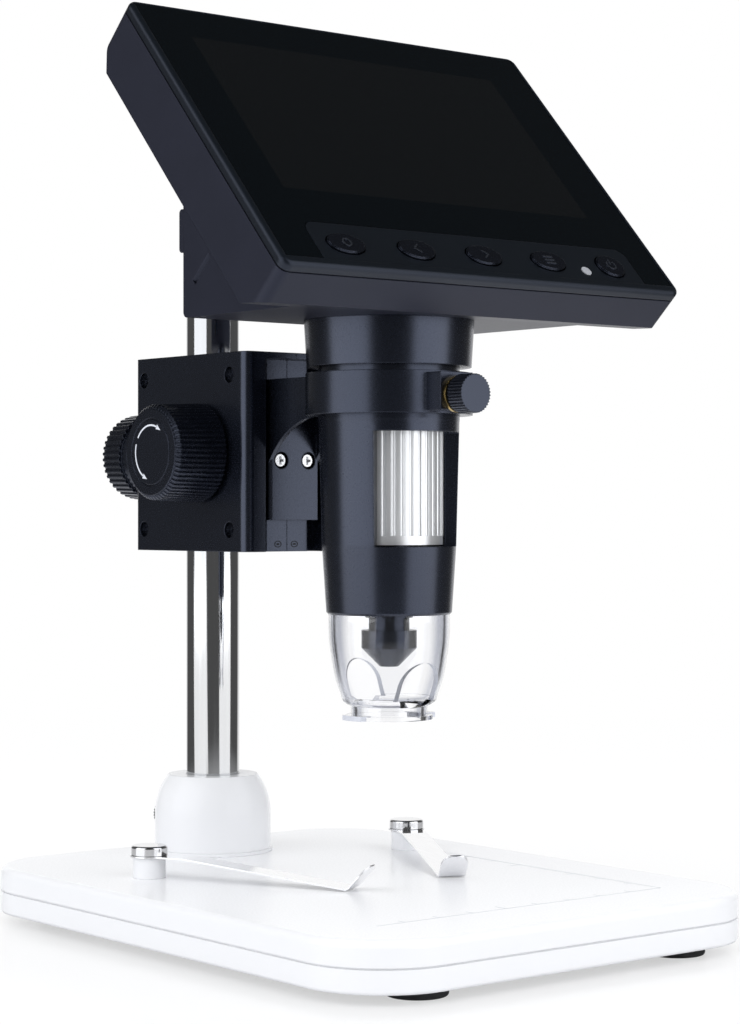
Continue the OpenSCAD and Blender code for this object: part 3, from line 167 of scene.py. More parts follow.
class NodeKit:
    """Adds, sets and links the nodes of one tree."""

    def __init__(self, tree):
        self.tree = tree

    def add(self, kind, **values):
        node = self.tree.nodes.new(kind)
        for key, value in values.items():
            setattr(node, key, value)
        return node

    def link(self, source, target):
        self.tree.links.new(source, target)

    def feed(self, socket, value):
        """Links a socket to another, or sets it to a plain value."""
        if isinstance(value, bpy.types.NodeSocket):
            self.link(value, socket)
        else:
            socket.default_value = value

    def put(self, node, **values):
        """Sets plain socket values, named in lower case with underscores."""
        sockets = {s.name.lower().replace(" ", "_"): s for s in reversed(node.inputs)}
        for key, value in values.items():
            sockets[key].default_value = value

    def ranged(self, source, low, high, start=0.3, end=0.7):
        """Maps a factor that runs from start to end to values from low to high."""
        node = self.add("ShaderNodeMapRange")
        self.put(node, from_min=start, from_max=end, to_min=low, to_max=high)
        self.link(source, node.inputs["Value"])
        return node.outputs["Result"]

    def math(self, operation, first, second=0.0):
        """A Math node; inputs are values or sockets."""
        node = self.add("ShaderNodeMath", operation=operation)
        self.feed(node.inputs[0], first)
        self.feed(node.inputs[1], second)
        return node.outputs[0]

    def along(self, vector, direction):
        """How far a vector runs along a direction."""
        node = self.add("ShaderNodeVectorMath", operation="DOT_PRODUCT")
        self.link(vector, node.inputs[0])
        node.inputs[1].default_value = direction
        return node.outputs["Value"]

    def rays(self):
        """Factors of four rays: from the camera, through clear pieces, mirrored and scattered.
        A ray that passes a clear piece after a mirror counts as mirrored."""
        path = self.add("ShaderNodeLightPath")
        bounced = self.math("GREATER_THAN", path.outputs["Glossy Depth"], 0.5)
        through = path.outputs["Is Transmission Ray"]
        straight = self.math("MULTIPLY", through, self.math("SUBTRACT", 1.0, bounced))
        mirrored = self.math("MAXIMUM", path.outputs["Is Glossy Ray"],
                             self.math("MULTIPLY", through, bounced))
        return path.outputs["Is Camera Ray"], straight, mirrored, path.outputs["Is Diffuse Ray"]


class Shader(NodeKit):
    """A material under construction, with its shader and object coordinates."""

    def __init__(self, name):
        self.material = bpy.data.materials.new(name)
        self.material.use_nodes = True
        super().__init__(self.material.node_tree)
        self.body = self.tree.nodes["Principled BSDF"]
        self.coords = self.add("ShaderNodeTexCoord")

    def noise(self, size, detail=2.0, stretch=(1, 1, 1)):
        """Noise with features of a given size in metres."""
        spread = self.add("ShaderNodeMapping")
        spread.inputs["Scale"].default_value = [s / size for s in stretch]
        self.link(self.coords.outputs["Object"], spread.inputs["Vector"])
        cloud = self.add("ShaderNodeTexNoise")
        self.put(cloud, scale=1.0, detail=detail)
        self.link(spread.outputs["Vector"], cloud.inputs["Vector"])
        return cloud.outputs["Fac"]

    def paint(self, factor, first, second):
        """Colours the surface from the first to the second colour by a factor."""
        node = self.add("ShaderNodeMix", data_type="RGBA")
        self.link(factor, node.inputs[0])
        node.inputs[6].default_value = (*first, 1)
        node.inputs[7].default_value = (*second, 1)
        self.link(node.outputs[2], self.body.inputs["Base Color"])

    def roughen(self, factor, low, high):
        """Varies the roughness between two values by a factor."""
        self.link(self.ranged(factor, low, high), self.body.inputs["Roughness"])

    def relief(self, source, depth, strength=1.0, edge=0.0):
        """Bump from a height, on top of softened edges."""
        bump = self.add("ShaderNodeBump")
        self.put(bump, strength=strength, distance=depth)
        self.link(source, bump.inputs["Height"])
        if edge:
            bevel = self.add("ShaderNodeBevel", samples=4)
            self.put(bevel, radius=edge)
            self.link(bevel.outputs["Normal"], bump.inputs["Normal"])
        self.link(bump.outputs["Normal"], self.body.inputs["Normal"])


def lighter(value, factor):
    """A colour made lighter or darker."""
    return tuple(min(1.0, channel * factor) for channel in value)


# ---------- finishes ----------

def moulded_black(name, value, rough=0.28, grain=0.28 * MM, edge=0.35 * MM, depth=0.0008 * MM,
                  sheen=(0.66, 0.74, 1.0), gloss=1.0):
    """Satin black plastic with a fine grain and softened edges."""
    s = Shader(name)
    s.put(s.body, ior=1.5, specular_tint=(*sheen, 1), specular_ior_level=gloss)
    s.paint(s.noise(14 * MM, 3.0), lighter(value, 0.85), lighter(value, 1.2))
    fine = s.noise(grain, 1.0)
    s.roughen(fine, rough - 0.02, rough + 0.03)
    s.relief(fine, depth, 1.0, edge)
    return s.material


def moulded_white(name, value, edge):
    """Satin white plastic, very finely textured."""
    s = Shader(name)
    s.put(s.body, ior=1.46)
    s.paint(s.noise(30 * MM), lighter(value, 0.985), lighter(value, 1.01))
    fine = s.noise(0.5 * MM, 1.0)
    s.roughen(fine, 0.20, 0.26)
    s.relief(fine, 0.006 * MM, 1.0, edge)
    return s.material


def polished_metal(name, value, rough=0.08, stretch=(1, 1, 1), size=2 * MM, edge=0.15 * MM,
                   metal=1.0):
    """Bright metal whose gloss is broken by fine drawn lines."""
    s = Shader(name)
    s.put(s.body, metallic=metal)
    drawn = s.noise(size, 3.0, stretch)
    s.paint(drawn, lighter(value, 0.93), lighter(value, 1.05))
    s.roughen(drawn, rough, rough + 0.05)
    s.relief(drawn, 0.001 * MM, 0.5, edge)
    return s.material


def soft_rubber(name, value):
    """Dull black rubber."""
    s = Shader(name)
    fine = s.noise(0.4 * MM)
    s.paint(fine, lighter(value, 0.8), lighter(value, 1.3))
    s.roughen(fine, 0.72, 0.85)
    s.relief(fine, 0.02 * MM)
    return s.material


def plain_plastic(name, value, rough, edge=0.1 * MM):
    """Small inner parts: one colour with a slight mottle."""
    s = Shader(name)
    fine = s.noise(1.2 * MM)
    s.paint(fine, lighter(value, 0.9), lighter(value, 1.1))
    s.roughen(fine, rough, rough + 0.08)
    s.relief(fine, 0.004 * MM, 1.0, edge)
    return s.material


def circuit_green(name, value):
    """Solder mask with copper lines under it."""
    s = Shader(name)
    bricks = s.add("ShaderNodeTexBrick")
    s.put(bricks, scale=320.0, mortar_size=0.03)
    s.link(s.coords.outputs["Object"], bricks.inputs["Vector"])
    s.paint(s.math("MULTIPLY", bricks.outputs["Fac"], 0.6), value, lighter(value, 2.2))
    s.roughen(s.noise(3 * MM), 0.28, 0.4)
    return s.material


def clear_plastic(name, tint, slant_shade):
    """Polished clear moulding whose walls are painted grey where they turn away from the view: painted shade
    standing in for the dark outlines that clear walls show.
    """
    s = Shader(name)
    s.put(s.body, transmission_weight=1.0, ior=1.47)
    view = s.add("ShaderNodeLayerWeight")
    s.put(view, blend=0.5)
    facing = view.outputs["Facing"]
    # painted shade: the grey rises as the wall turns away from the view and falls again right at its outline
    s.paint(s.math("MULTIPLY", s.ranged(facing, 0.0, 1.0, 0.34, 0.54),
                   s.ranged(facing, 1.0, 0.35, 0.62, 0.82)), tint, slant_shade)
    flow = s.noise(9 * MM, 2.0, (1, 1, 0.3))
    s.roughen(flow, 0.0, 0.03)
    s.relief(flow, 0.03 * MM, 0.3)
    return s.material


def coated_glass(name, value):
    """Lens glass with a faint blue coating."""
    s = Shader(name)
    s.put(s.body, transmission_weight=0.9, ior=1.52, roughness=0.02, coat_weight=0.6,
          coat_tint=(0.55, 0.62, 1.0, 1))
    s.paint(s.noise(2 * MM), lighter(value, 0.9), value)
    return s.material


def screen_pane(name, sheen):
    """Black glass in front of a display that is off: the active area is a little lighter."""
    s = Shader(name)
    s.put(s.body, ior=1.5, specular_tint=(*sheen, 1))
    place = s.add("ShaderNodeMapping", vector_type="TEXTURE")
    place.inputs["Location"].default_value = ACTIVE_MIDDLE
    place.inputs["Rotation"].default_value = (FACE_TILT, 0, 0)
    s.link(s.coords.outputs["Object"], place.inputs["Vector"])
    split = s.add("ShaderNodeSeparateXYZ")
    s.link(place.outputs["Vector"], split.inputs[0])
    blur = 0.1 * MM
    across, up = (s.ranged(s.math("ABSOLUTE", split.outputs[axis]), 1.0, 0.0,
                           full / 2 - blur, full / 2 + blur)
                  for axis, full in enumerate(ACTIVE_SIZE))
    s.paint(s.math("MULTIPLY", across, up), (0.0010, 0.0020, 0.0028), (0.0034, 0.0040, 0.0044))
    s.roughen(s.noise(18 * MM, 4.0), 0.02, 0.07)
    return s.material


def printed_ink(name, value, rough=0.5):
    """Thin printed ink."""
    s = Shader(name)
    speck = s.noise(0.2 * MM, 1.0)
    s.paint(speck, lighter(value, 0.94), lighter(value, 1.04))
    s.roughen(speck, rough - 0.06, rough + 0.06)
    return s.material


# ---------- modelling helpers ----------

ROUND = 128  # sides of a large round


def clear_selection():
    if bpy.context.mode != "OBJECT":
        bpy.ops.object.mode_set(mode="OBJECT")
    bpy.ops.object.select_all(action="DESELECT")


def active(name):
    """Names the object just added and returns it."""
    piece = bpy.context.active_object
    piece.name = name
    piece.data.name = name
    return piece


def apply_place(piece):
    """Puts the object's place into its mesh."""
    clear_selection()
    piece.select_set(True)
    bpy.context.view_layer.objects.active = piece
    bpy.ops.object.transform_apply(location=True, rotation=True, scale=True)
    return piece


def bar(name, size, at=(0, 0, 0), turn=0.0):
    """A bar of a given size, turned about Z."""
    clear_selection()
    bpy.ops.mesh.primitive_cube_add(size=1, location=at, rotation=(0, 0, turn), scale=size)
    return apply_place(active(name))


def disc(name, radius, depth, at, turn=(0, 0, 0), sides=ROUND):
    """A disc about its own axis, in its place."""
    clear_selection()
    bpy.ops.mesh.primitive_cylinder_add(vertices=sides, radius=radius, depth=depth,
                                        location=at, rotation=turn)
    return apply_place(active(name))


def joined(name, parts):
    """Joins parts into one piece."""
    clear_selection()
    for part in parts:
        part.select_set(True)
    bpy.context.view_layer.objects.active = parts[0]
    bpy.ops.object.join()
    return active(name)


def placed(piece, matrix):
    """Moves a finished drawing to its place."""
    piece.matrix_world = matrix @ piece.matrix_world
    return apply_place(piece)


def arc_band(name, radius, width, height, start, sweep, steps=24):
    """A flat band along an arc about Z, closed at both ends. Without a window spin turns the
    other way, so its angle is reversed."""
    clear_selection()
    bpy.ops.mesh.primitive_plane_add(size=1)
    piece = active(name)
    piece.scale = (width, height, 1)
    piece.rotation_euler = (math.pi / 2, 0, 0)
    piece.location = (radius, 0, height / 2)
    apply_place(piece)
    piece.rotation_euler = (0, 0, start)
    apply_place(piece)
    bpy.ops.object.mode_set(mode="EDIT")
    bpy.ops.mesh.select_all(action="SELECT")
    bpy.ops.mesh.delete(type="ONLY_FACE")
    bpy.ops.mesh.select_all(action="SELECT")
    bpy.ops.mesh.spin(steps=steps, angle=-sweep, center=(0, 0, 0), axis=(0, 0, 1))
    bpy.ops.mesh.select_all(action="SELECT")
    bpy.ops.mesh.remove_doubles(threshold=0.000001)
    bpy.ops.mesh.fill_holes(sides=4)
    bpy.ops.mesh.select_all(action="SELECT")
    bpy.ops.mesh.normals_make_consistent(inside=False)
    bpy.ops.object.mode_set(mode="OBJECT")
    return piece


def arrow(radius, width, height, start, sweep):
    """A curved arrow about Z whose head lies at the end of its sweep."""
    band = arc_band("arc", radius, width, height, start, sweep)
    past_end = 0.55 * MM
    tip = start + sweep + math.copysign(past_end / radius, sweep)
    clear_selection()
    bpy.ops.mesh.primitive_cylinder_add(vertices=3, radius=0.9 * MM, depth=height,
                                        scale=(0.85, 1.5, 1))
    head = apply_place(active("head"))
    head.rotation_euler = (0, 0, tip if sweep > 0 else tip + math.pi)
    head.location = (radius * math.cos(tip), radius * math.sin(tip), height / 2)
    return [band, apply_place(head)]


def flowing(points, steps=5):
    """A smooth line through the points, as a list of more points: each span is the cubic
    whose slopes come from the neighbouring points."""
    ends = [points[0], *points, points[-1]]
    line = []
    for a, b, c, d in zip(ends, ends[1:], ends[2:], ends[3:]):
        for i in range(steps):
            t = i / steps
            line.append(tuple(0.5 * (2 * q + (r - p) * t + (2 * p - 5 * q + 4 * r - w) * t * t
                                     + (3 * q - p - 3 * r + w) * t ** 3)
                              for p, q, r, w in zip(a, b, c, d)))
    return line + [points[-1]]


def turned(name, profile):
    """A closed shape of revolution about Z, pulled up ring by ring from (radius, height)
    points."""
    clear_selection()
    radius, height = profile[0]
    bpy.ops.mesh.primitive_circle_add(vertices=ROUND, radius=radius, location=(0, 0, height))
    piece = apply_place(active(name))
    bpy.ops.object.mode_set(mode="EDIT")
    bpy.ops.mesh.select_all(action="SELECT")
    for next_radius, next_height in profile[1:]:
        bpy.ops.mesh.extrude_region_move(
            TRANSFORM_OT_translate={"value": (0, 0, next_height - height)})
        wider = next_radius / radius
        bpy.ops.transform.resize(value=(wider, wider, 1), center_override=(0, 0, next_height))
        radius, height = next_radius, next_height
    bpy.ops.mesh.select_all(action="SELECT")
    bpy.ops.mesh.remove_doubles(threshold=0.0000005)
    bpy.ops.mesh.normals_make_consistent(inside=False)
    bpy.ops.object.mode_set(mode="OBJECT")
    return piece


def smooth(piece, angle=35):
    """Smooth shading apart from edges sharper than the angle."""
    clear_selection()
    piece.select_set(True)
    bpy.context.view_layer.objects.active = piece
    bpy.ops.object.shade_smooth_by_angle(angle=math.radians(angle))


def combined(piece, other, operation="DIFFERENCE"):
    """Cuts another shape out of a piece, or adds it, and removes the other."""
    clear_selection()
    piece.select_set(True)
    bpy.context.view_layer.objects.active = piece
    step = piece.modifiers.new("combine", "BOOLEAN")
    step.operation = operation
    step.object = other
    step.solver = "EXACT"
    bpy.ops.object.modifier_apply(modifier=step.name)
    bpy.data.objects.remove(other)
    return piece


def dress(piece, material, body):
    """Gives a finished piece its material and its body."""
    piece.data.materials.clear()
    piece.data.materials.append(material)
    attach(piece, body)
    return piece


# ---------- operators ----------

class SCOPE_OT_finishes(bpy.types.Operator):
    """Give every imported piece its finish"""
    bl_idname = "scope.finishes"
    bl_label = "Finishes"

    def execute(self, context):
        look, cap = context.scene.scope_finish, context.scene.scope_cap
        black, white, sheen = tuple(look.black), tuple(look.white), tuple(look.sheen)
        by_slot = {
            "white_plastic": moulded_white("white moulding", white, look.edge),
            "black_plastic": moulded_black("black moulding", black, 0.25, look.grain, look.edge,
                                           sheen=sheen),
            "black_gloss": moulded_black("smooth black moulding", lighter(black, 0.8), 0.20,
                                         look.grain, 0.2 * MM, 0.001 * MM, sheen),
            "post_steel": polished_metal("polished post", tuple(look.steel), 0.05, (1, 1, 0.02),
                                         1.2 * MM),
            "clip_steel": polished_metal("clip steel", (0.94, 0.94, 0.95), 0.08, (1, 0.1, 1),
                                         0.6 * MM, 0.05 * MM),
            "nickel": polished_metal("nickel", (0.78, 0.78, 0.79), 0.07, edge=0.2 * MM),
            "brass": polished_metal("brass", (0.50, 0.36, 0.14), 0.22),
            "zinc": polished_metal("zinc", (0.92, 0.925, 0.94), 0.22, edge=0.12 * MM, metal=0.8),
            "rubber": soft_rubber("foot rubber", (0.018, 0.018, 0.019)),
            "wheel_silver": polished_metal("wheel silver", tuple(look.silver), 0.30, (1, 1, 0.1),
                                           1 * MM, 0.1 * MM, metal=0.8),
            # the clear moulding carries painted shade, grey where its walls turn away from the view
            "clear_plastic": clear_plastic("clear moulding", tuple(cap.tint), tuple(cap.slant_shade)),
            "screen_glass": screen_pane("black glass", sheen),
            "lens_glass": coated_glass("lens glass", (0.80, 0.86, 0.95)),
            "lens_black": moulded_black("lens black", (0.005, 0.0065, 0.0095), 0.24,
                                        edge=0.15 * MM, depth=0.002 * MM, sheen=sheen, gloss=0.8),
            "shaft_steel": polished_metal("ground shaft", (0.72, 0.72, 0.73), 0.15),
            "acetal": plain_plastic("acetal", (0.74, 0.71, 0.62), 0.35),
            "board_green": circuit_green("board", (0.02, 0.11, 0.045)),
            "panel_grey": polished_metal("panel frame", (0.45, 0.46, 0.48), 0.3),
            "battery_wrap": plain_plastic("battery wrap", (0.04, 0.16, 0.42), 0.25),
            "ribbon": plain_plastic("ribbon", (0.55, 0.26, 0.05), 0.3),
            "led_white": plain_plastic("lamp lens", (0.34, 0.35, 0.38), 0.12),
        }
        shell = moulded_black("housing moulding", tuple(look.housing), 0.42, look.grain,
                              look.edge, 0.008 * MM, sheen, 0.35)
        by_node = {
            "rear_shell": shell,
            "rear_cover": shell,
            "bezel": moulded_black("bezel moulding", (0.0040, 0.0058, 0.0080), 0.36, look.grain,
                                   look.edge, 0.006 * MM, sheen, 0.5),
        }
        for row in frame["record"]["subparts"]:
            slots = NODES[row["node"]].data.materials
            slots.clear()
            slots.append(by_node.get(row["node"], by_slot[row["material_slot"]]))
        return {"FINISHED"}


class SCOPE_OT_ruler(bpy.types.Operator):
    """Print the two ruler lines on the stage"""
    bl_idname = "scope.ruler"
    bl_label = "Stage ruler"

    # the corner's distance from the base's right and front edges, and the two lines' lengths
    INSET = Vector((17.8, 20.5)) * MM
    ACROSS, ALONG = 88 * MM, 81 * MM
    INK = 0.03 * MM
    LONG_TICK = 1.5  # every fifth tick, as a share of a plain one

    def execute(self, context):
        marks = context.scene.scope_marks
        low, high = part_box("base_shell")
        corner = Vector((high.x - self.INSET.x, low.y + self.INSET.y, high.z + self.INK / 2))
        parts = [self.stroke(corner, -self.ACROSS, 0, marks.line),
                 self.stroke(corner, 0, self.ALONG, marks.line)]
        for i in range(1, round(self.ACROSS / marks.step)):
            foot = corner - Vector((i * marks.step, 0, 0))
            parts.append(self.stroke(foot, 0, self.tick(marks, i), marks.line))
        for i in range(1, round(self.ALONG / marks.step)):
            foot = corner + Vector((0, i * marks.step, 0))
            parts.append(self.stroke(foot, -self.tick(marks, i), 0, marks.line))
        dress(joined("stage_ruler", parts), printed_ink("ruler ink", tuple(marks.print_colour)),
              "stand")
        return {"FINISHED"}

    def tick(self, marks, number):
        return marks.tick * (self.LONG_TICK if number % 5 == 0 else 1)

    def stroke(self, foot, dx, dy, line):
        """A printed line that runs from its foot along X or along Y."""
        size = (abs(dx) or line, abs(dy) or line, self.INK)
        return bar("stroke", size, foot + Vector((dx / 2, dy / 2, 0)))


class SCOPE_OT_key_marks(bpy.types.Operator):
    """Raise a plain sign on each of the five keys"""
    bl_idname = "scope.key_marks"
    bl_label = "Key marks"

    RISE = 0.14 * MM

    def execute(self, context):
        stroke = context.scene.scope_marks.stroke
        material = moulded_black("raised sign", (0.016, 0.018, 0.022), rough=0.22,
                                 edge=0.08 * MM, depth=0.001 * MM)

        def rod(wide, x, y, turn=0.0):
            """A stroke; lengths in millimetres, its turn in degrees."""
            return bar("stroke", (wide * MM, stroke, self.RISE), (x * MM, y * MM, self.RISE / 2),
                       math.radians(turn))

        def ring(radius, start, sweep, steps):
            """A round stroke; its radius in millimetres, its angles in degrees."""
            return arc_band("ring", radius * MM, stroke, self.RISE, math.radians(start),
                            math.radians(sweep), steps)

        signs = {
            "key_ok": [ring(1.15, 0, 360, 40)],
            "key_left": [rod(2.2, -0.25, 0.62, 40), rod(2.2, -0.25, -0.62, -40)],
            "key_right": [rod(2.2, 0.25, 0.62, -40), rod(2.2, 0.25, -0.62, 40)],
            "key_menu": [rod(3.0, 0, y) for y in (-1.1, 0, 1.1)],
            "key_power": [ring(1.35, 120, 300, 36), rod(1.5, 0, 1.15, 90)],
        }
        for key, parts in signs.items():
            sign = joined(key + "_sign", parts)
            placed(sign, on_face(middle(key), reach(key, FACE_NORMAL)))
            dress(sign, material, key)
        return {"FINISHED"}


class SCOPE_OT_lock_arrows(bpy.types.Operator):
    """Print two curved arrows on the lock knob"""
    bl_idname = "scope.lock_arrows"
    bl_label = "Lock arrows"

    # each arrow's start and sweep in degrees, from the top towards the rear
    ARROWS = ((57, -80), (72, 79))
    CIRCLE = 0.54  # their radius as a share of the knob's
    WIDTH, INK = 0.44 * MM, 0.04 * MM

    def execute(self, context):
        low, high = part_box("lock_knob")
        centre = middle("lock_knob")
        radius = (high.z - low.z) / 2 * self.CIRCLE
        parts = []
        for start, sweep in self.ARROWS:
            parts += arrow(radius, self.WIDTH, self.INK, math.radians(start), math.radians(sweep))
        to_face = (Matrix.Translation((low.x, centre.y, centre.z))
                   @ Matrix.Rotation(-math.pi / 2, 4, "Y"))
        arrows = placed(joined("lock_arrows", parts), to_face)
        dress(arrows, printed_ink("arrow ink", (0.74, 0.77, 0.84), 0.4), "lock_knob")
        return {"FINISHED"}


class SCOPE_OT_mould_marks(bpy.types.Operator):
    """Mark the lower bridge of each block half with a small oval"""
    bl_idname = "scope.mould_marks"
    bl_label = "Mould marks"

    # where the bridges' faces lie, from the block's front and bottom
    BEHIND, ABOVE = 4 * MM, 1.9 * MM
    SIDES = (-2.9 * MM, 2.4 * MM)
    RADIUS, LINE, RISE = 0.75 * MM, 0.2 * MM, 0.03 * MM
    OVAL = 1.35  # width over height
    DASH = (0.9 * MM, 0.45 * MM)

    def execute(self, context):
        low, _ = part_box("block_left")
        parts = []
        for x in self.SIDES:
            ring = arc_band("ring", self.RADIUS, self.LINE, self.RISE, 0, math.tau, 32)
            ring.scale = (self.OVAL, 1, 1)
            ring.location = (x, 0, 0)
            dash = bar("dash", (*self.DASH, self.RISE), (x, 0, self.RISE / 2))
            parts += [apply_place(ring), dash]
        to_bridge = (Matrix.Translation((0, low.y + self.BEHIND, low.z + self.ABOVE))
                     @ Matrix.Rotation(math.pi / 2, 4, "X"))
        marks = placed(joined("mould_marks", parts), to_bridge)
        dress(marks, printed_ink("mould mark", (0.006, 0.007, 0.010), 0.6), "block")
        return {"FINISHED"}


class SCOPE_OT_clear_cap(bpy.types.Operator):
    """Mould the clear cap with flowing walls, arches and finger tabs"""
    bl_idname = "scope.clear_cap"
    bl_label = "Clear cap"

    # outer line: radius and height below the barrel, as shares of the greatest radius and length
    OUTLINE = ((1.0, 0.0), (1.0, -0.09), (0.990, -0.25), (0.950, -0.43), (0.893, -0.609),
               (0.799, -0.770), (0.752, -0.838), (0.634, -0.876))
    NECK, FOOT, SEAT = 0.631, 0.718, 0.96  # radii as shares of the greatest
    LIP = 1.0 * MM
    # inside, the wall's last part rises by a share of its thickness
    RISE_FROM, RISE = 0.8, 0.35
    TAB_REACH, TAB_HALF, TAB_THICK, TAB_BORE = 12.25 * MM, 3.6 * MM, 1.2 * MM, 9 * MM
    ARCH_WIDE, ARCH_DROP, ARCH_STRAIGHT = 11.2 * MM, 17 * MM, 3.6 * MM

    def execute(self, context):
        cap = context.scene.scope_cap
        low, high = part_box("clear_cap")
        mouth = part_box("barrel")[0].z
        radius, drop, above = (high.x - low.x) / 2, mouth - low.z, high.z - mouth
        axis = Vector((BARREL_AXIS.x, BARREL_AXIS.y, mouth))
        neck, foot, seat = self.NECK * radius, self.FOOT * radius, self.SEAT * radius
        outer = flowing([(r * radius, z * drop) for r, z in self.OUTLINE])
        inner = [(max(r - cap.wall, neck - cap.wall),
                  z + cap.wall * self.RISE * (z < -self.RISE_FROM * drop)) for r, z in outer]
        lower_end = [(neck, -drop + self.LIP), (foot, -drop + self.LIP), (foot, -drop),
                     (neck - cap.wall, -drop)]
        upper_end = [(seat - cap.wall, 0), (seat - cap.wall, above), (seat, above), (seat, 0)]
        piece = turned("clear_cap_moulding",
                       outer + lower_end + inner[::-1] + upper_end + outer[:1])
        piece.location = axis
        apply_place(piece)
        self.add_tabs(piece, axis, low)
        self.cut_arches(piece, axis)
        smooth(piece, 28)
        dress(piece, NODES["clear_cap"].data.materials[0], "head")
        # the cut edges of the arches and tabs are given an opaque grey
        piece.data.materials.append(plain_plastic("grey cut edge", tuple(cap.edge), 0.3))
        for face in piece.data.polygons:
            place = face.center - axis
            if self.on_arch(place + Vector((0, 0, self.ARCH_DROP))) or self.on_tab(place):
                face.material_index = 1
        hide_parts("clear_cap")
        return {"FINISHED"}

    def add_tabs(self, piece, axis, low):
        """Two finger tabs on the foot, rounded on the outside."""
        thick = self.TAB_THICK
        level = Vector((axis.x, axis.y, low.z + thick / 2))
        tab = disc("tab", self.TAB_REACH, thick, level)
        width = bar("tab_width", (3 * self.TAB_REACH, 2 * self.TAB_HALF, 2 * thick), level)
        combined(tab, width, "INTERSECT")
        combined(tab, disc("tab_bore", self.TAB_BORE, 2 * thick, level))
        combined(piece, tab, "UNION")

    def cut_arches(self, piece, axis):
        """Cuts the arched openings to the front and the rear."""
        deep = 40 * MM
        spring = axis - Vector((0, 0, self.ARCH_DROP))
        arch = disc("arch", self.ARCH_WIDE / 2, deep, spring, (math.pi / 2, 0, 0), 96)
        foot = bar("arch_foot", (self.ARCH_WIDE, deep, self.ARCH_STRAIGHT),
                   spring - Vector((0, 0, self.ARCH_STRAIGHT / 2)))
        combined(piece, combined(arch, foot, "UNION"))

    def on_arch(self, place):
        """Whether a place, measured from the middle of the arch's round, lies on the cut."""
        near, half, straight = 0.02 * MM, self.ARCH_WIDE / 2, self.ARCH_STRAIGHT
        if place.z > 0:
            return abs(math.hypot(place.x, place.z) - half) < near
        on_side = abs(abs(place.x) - half) < near and place.z > -straight - near
        return on_side or (abs(place.z + straight) < near and abs(place.x) < half)

    def on_tab(self, place):
        """Whether a place, measured from the barrel's mouth, lies on a finger tab's edge."""
        near, past_neck, below = 0.05 * MM, 9.5 * MM, -22 * MM
        out = math.hypot(place.x, place.y)
        on_edge = abs(out - self.TAB_REACH) < near or abs(abs(place.y) - self.TAB_HALF) < near
        return on_edge and out > past_neck and place.z < below


